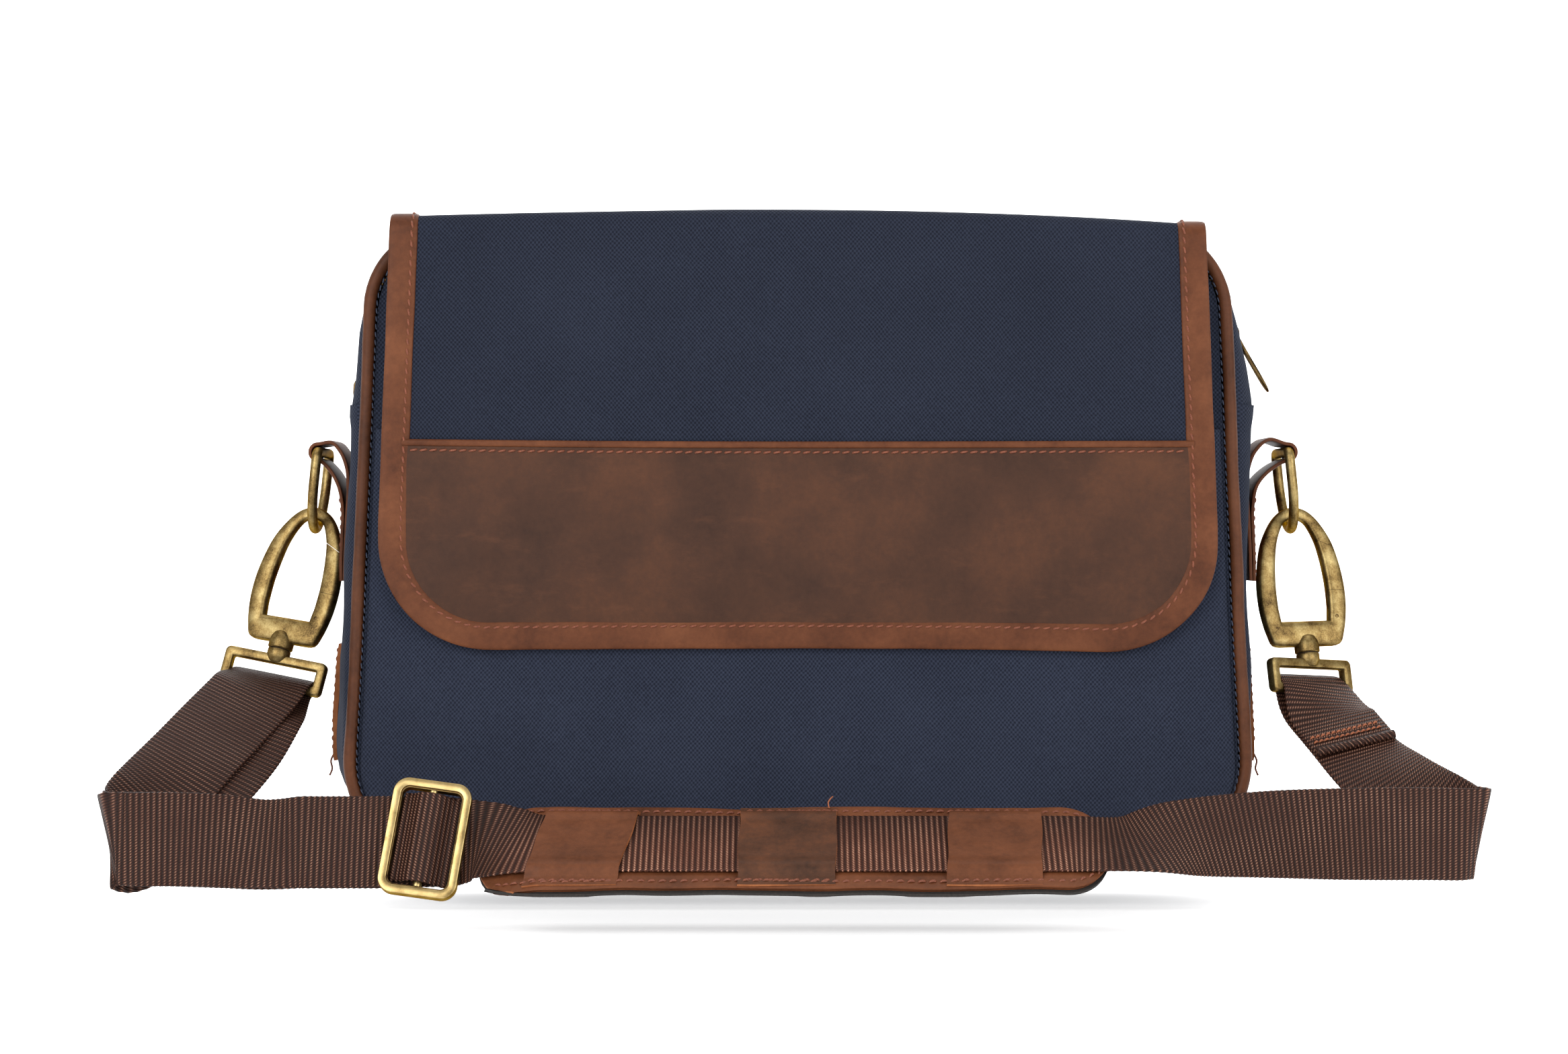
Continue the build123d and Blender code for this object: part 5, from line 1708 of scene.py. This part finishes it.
def pad():
    out = np.array(pad_matrix())[:3, 2]
    xs = np.concatenate([
        np.linspace(-131, -105, 40)[:-1], np.linspace(-105, 105, 110)[:-1], np.linspace(105, 125.4, 36),
    ])

    def layer(name, base, thick, inset, material, slot, node, crown):
        grid = []
        for t in np.sin(np.linspace(-pi / 2, pi / 2, 26)):
            row = []
            for x in xs:
                top, bottom = pad_edge(x)
                mid, half = (top + bottom) / 2, max((top - bottom) / 2 - inset, 0.3)
                edge = min(1.0, min(x + 131, 125.4 - x) / 6)
                rim = (1 - abs(t) ** 10) ** 0.5 * sqrt(max(0.0, 1 - (1 - np.clip(edge, 0, 1)) ** 2))
                sway = 0.5 * noise.noise(Vector((x / 22, t, 7))) + 0.35 * sin(x / 13)
                lift = base + crown * rim + sway * (abs(t) ** 3)
                row.append((x, mid + half * t, lift))
            grid.append(row)
        grid = np.array(grid)
        moved = on_pad(grid)
        uv = grid[..., :2]
        made = shell(name, moved, thick, material, uv, out)
        if material == PAD_TAN:
            raw_rim(made, out)
        settle(made, "pad", slot, node)

    layer("PadLeather", -1.9, 2.1, 0.0, PAD_TAN, "leather_tan", "pad_leather", 0.6)
    layer("PadBacking", -4.05, 1.3, -0.5, FELT, "pad_felt", "pad_backing", 0.1)
    loop = []
    for x in np.linspace(-122, 117, 170):
        top, bottom = pad_edge(x)
        loop.append((x, top - 4.0, -1.15))
    ends = [(119.6, 18), (121.2, 9), (121.6, 0), (121.2, -9), (119.6, -18)]
    loop += [(x, y, -1.2) for x, y in ends]
    for x in np.linspace(117, -124, 170):
        top, bottom = pad_edge(x)
        loop.append((x, bottom + 4.0, -1.15))
    loop = [p for p in loop if abs(p[1]) < 40]
    line = resample(on_pad(loop), 1.5)
    look = dict(pitch=4.3, long=3.5, slant=8)
    sew("PadStitches", line, out, RUST_THREAD, "pad", "leather_tan", **look)


PAD_LOOPS = {"left": (-87.0, 4.6, 0.7), "middle": (-4.5, 0.6, 2.4), "right": (79.0, 1.4, 0.3)}


def pad_loops():
    """Three leather loops that hold the pad to the webbing."""
    place = pad_matrix()
    out = np.array(place)[:3, 2]
    for name, (mid, slope, seed) in PAD_LOOPS.items():
        half = {"left": 18.6, "middle": 19.6, "right": 18.8}[name]
        climb = [(26.6, -1.0), (24.2, -0.9), (22.2, -0.4), (20.9, 1.2), (19.3, 2.6), (12, 2.9)]
        route = [(-a, b) for a, b in climb] + [(0, 2.9)] + climb[::-1]
        line = curve([(0, a, b) for a, b in route], 0.9)
        xs = np.linspace(-1, 1, 30)
        grid = []
        for p in line:
            share = p[1] / 26.6
            row = []
            for k in xs:
                wobble = 0.35 * noise.noise(Vector((k * 2, p[1] / 7, seed)))
                x = mid + k * (half + 0.3 * sin(p[1] / 5 + seed)) + slope * share
                row.append((x, p[1], p[2] + 0.25 * (k ** 6) * (abs(share) < 0.7) + wobble * 0.5))
            grid.append(row)
        grid = np.array(grid)
        moved = on_pad(grid)
        material = PAD_DARK if name == "middle" else PAD_TAN
        made = shell(f"PadLoop_{name}", moved, 1.5, material, grid[..., :2], out)
        raw_rim(made, out)
        settle(made, "pad", "leather_tan", f"pad_loop_{name}")
        for k, at in (("low", -24.0), ("high", 24.0)):
            middle = mid + slope * at / 26.6
            row_line = np.array([(middle + q * (half - 1.5), at, -0.85) for q in np.linspace(-1, 1, 20)])
            row, look = f"PadLoopStitches_{name}_{k}", dict(pitch=4.0, long=3.3, slant=8)
            sew(row, local(place, row_line), out, RUST_THREAD, "pad", "leather_tan", **look)
    tail = [(12.5, 25.5, -0.4), (12.2, 28.5, 0.6), (13.3, 30.5, 1.2), (14.0, 32.0, 0.9)]
    made = tube("PadThreadEnd", curve(local(place, tail), 0.5), 0.28, PALE_THREAD, sides=6)
    settle(made, "pad", "leather_tan")


# ---------------------------------------------------------------- scene

def studio():
    white = Shader("floor_white", Roughness=0.9, Specular_IOR_Level=0.0, Emission_Strength=0.5)
    white.bsdf.inputs["Emission Color"].default_value = (1, 1, 1, 1)
    tone = white.noise(white.place(0.01), 1.0)
    white.colour(white.ramp(tone, [(0.0, (0.86, 0.86, 0.86)), (1.0, (0.88, 0.88, 0.88))]))
    rows = []
    level = [(-14.0, 0, 0), (-6.0, 0, 0), (-1.0, 0, 0), (0.8, 0, 0)]
    rise = [(1.5, 0.08, 0), (1.9, 0.5, 0), (2.0, 1.2, 0), (2.0, 5.0, 0)]
    for y, z in curve(level + rise, 0.12)[:, :2]:
        rows.append([(x * 1000, y * 1000, z * 1000 - 0.05) for x in np.linspace(-9, 9, 20)])
    grid = np.array(rows)
    floor = build("Floor", grid.reshape(-1, 3), quads(len(rows), 20), white.material)
    world = bpy.data.worlds.new("Studio")
    world.use_nodes = True
    nodes, links = world.node_tree.nodes, world.node_tree.links
    glow, seen = nodes["Background"], nodes.new("ShaderNodeBackground")
    for background, strength in ((glow, 0.5), (seen, 1.0)):
        background.inputs[0].default_value = (1, 1, 1, 1)
        background.inputs[1].default_value = strength
    mixed = nodes.new("ShaderNodeMixShader")
    links.new(nodes.new("ShaderNodeLightPath").outputs["Is Camera Ray"], mixed.inputs[0])
    links.new(glow.outputs[0], mixed.inputs[1])
    links.new(seen.outputs[0], mixed.inputs[2])
    links.new(mixed.outputs[0], nodes["World Output"].inputs[0])
    bpy.context.scene.world = world
    lamps = [
        ("Key", (-1.3, -2.2, 1.0), (1.8, 1.6), 56, (0, 0, 0.12)),
        ("Fill", (1.7, -2.1, 0.8), (1.7, 1.5), 39, (0, 0, 0.12)),
        ("Top", (0.0, 0.1, 2.4), (2.4, 2.0), 34, (0, 0, 0.1)),
        ("Back", (0.0, 1.7, 1.6), (2.6, 1.2), 26, (0, 0.2, 0.1)),
    ]
    for name, spot, size, power, target in lamps:
        light = bpy.data.lights.new(name, "AREA")
        light.shape = "RECTANGLE"
        light.size, light.size_y = size
        light.energy = power
        lamp = bpy.data.objects.new(name, light)
        bpy.context.scene.collection.objects.link(lamp)
        lamp.location = spot
        lamp.rotation_euler = (Vector(target) - Vector(spot)).to_track_quat("-Z", "Y").to_euler()
    camera = bpy.data.cameras.new("Camera")
    camera.lens, camera.sensor_width = 79.89, 36.0
    camera.clip_start, camera.clip_end = 0.05, 20
    view = bpy.data.objects.new("Camera", camera)
    view.location = (-0.006, -1.55, 0.146)
    view.rotation_euler = (pi / 2, 0, 0)
    bpy.context.scene.collection.objects.link(view)
    bpy.context.scene.camera = view
    bpy.context.scene.view_settings.view_transform = "Standard"


studio()
panels()
lower_gusset()
upper_gusset()
piping()
pocket()
lining()
divider()
zip_parts()
sliders()
flap()
leather_panel()
binding()
back_strip()
for side_name, side_sign in SIDES.items():
    chape(side_name, side_sign)
    low_strip(side_name, side_sign)
    hook(side_name)
    strap_loop(side_name)
strap()
layers()
left_layer()
adjuster()
pad()
pad_loops()
paint(ANTIQUE, "d_ring_left", "d_ring_right")
paint(SATIN, "adjuster_bar")
paint(STEEL, "magnet_sockets", "magnet_studs")
paint(BOARD, "base_board")
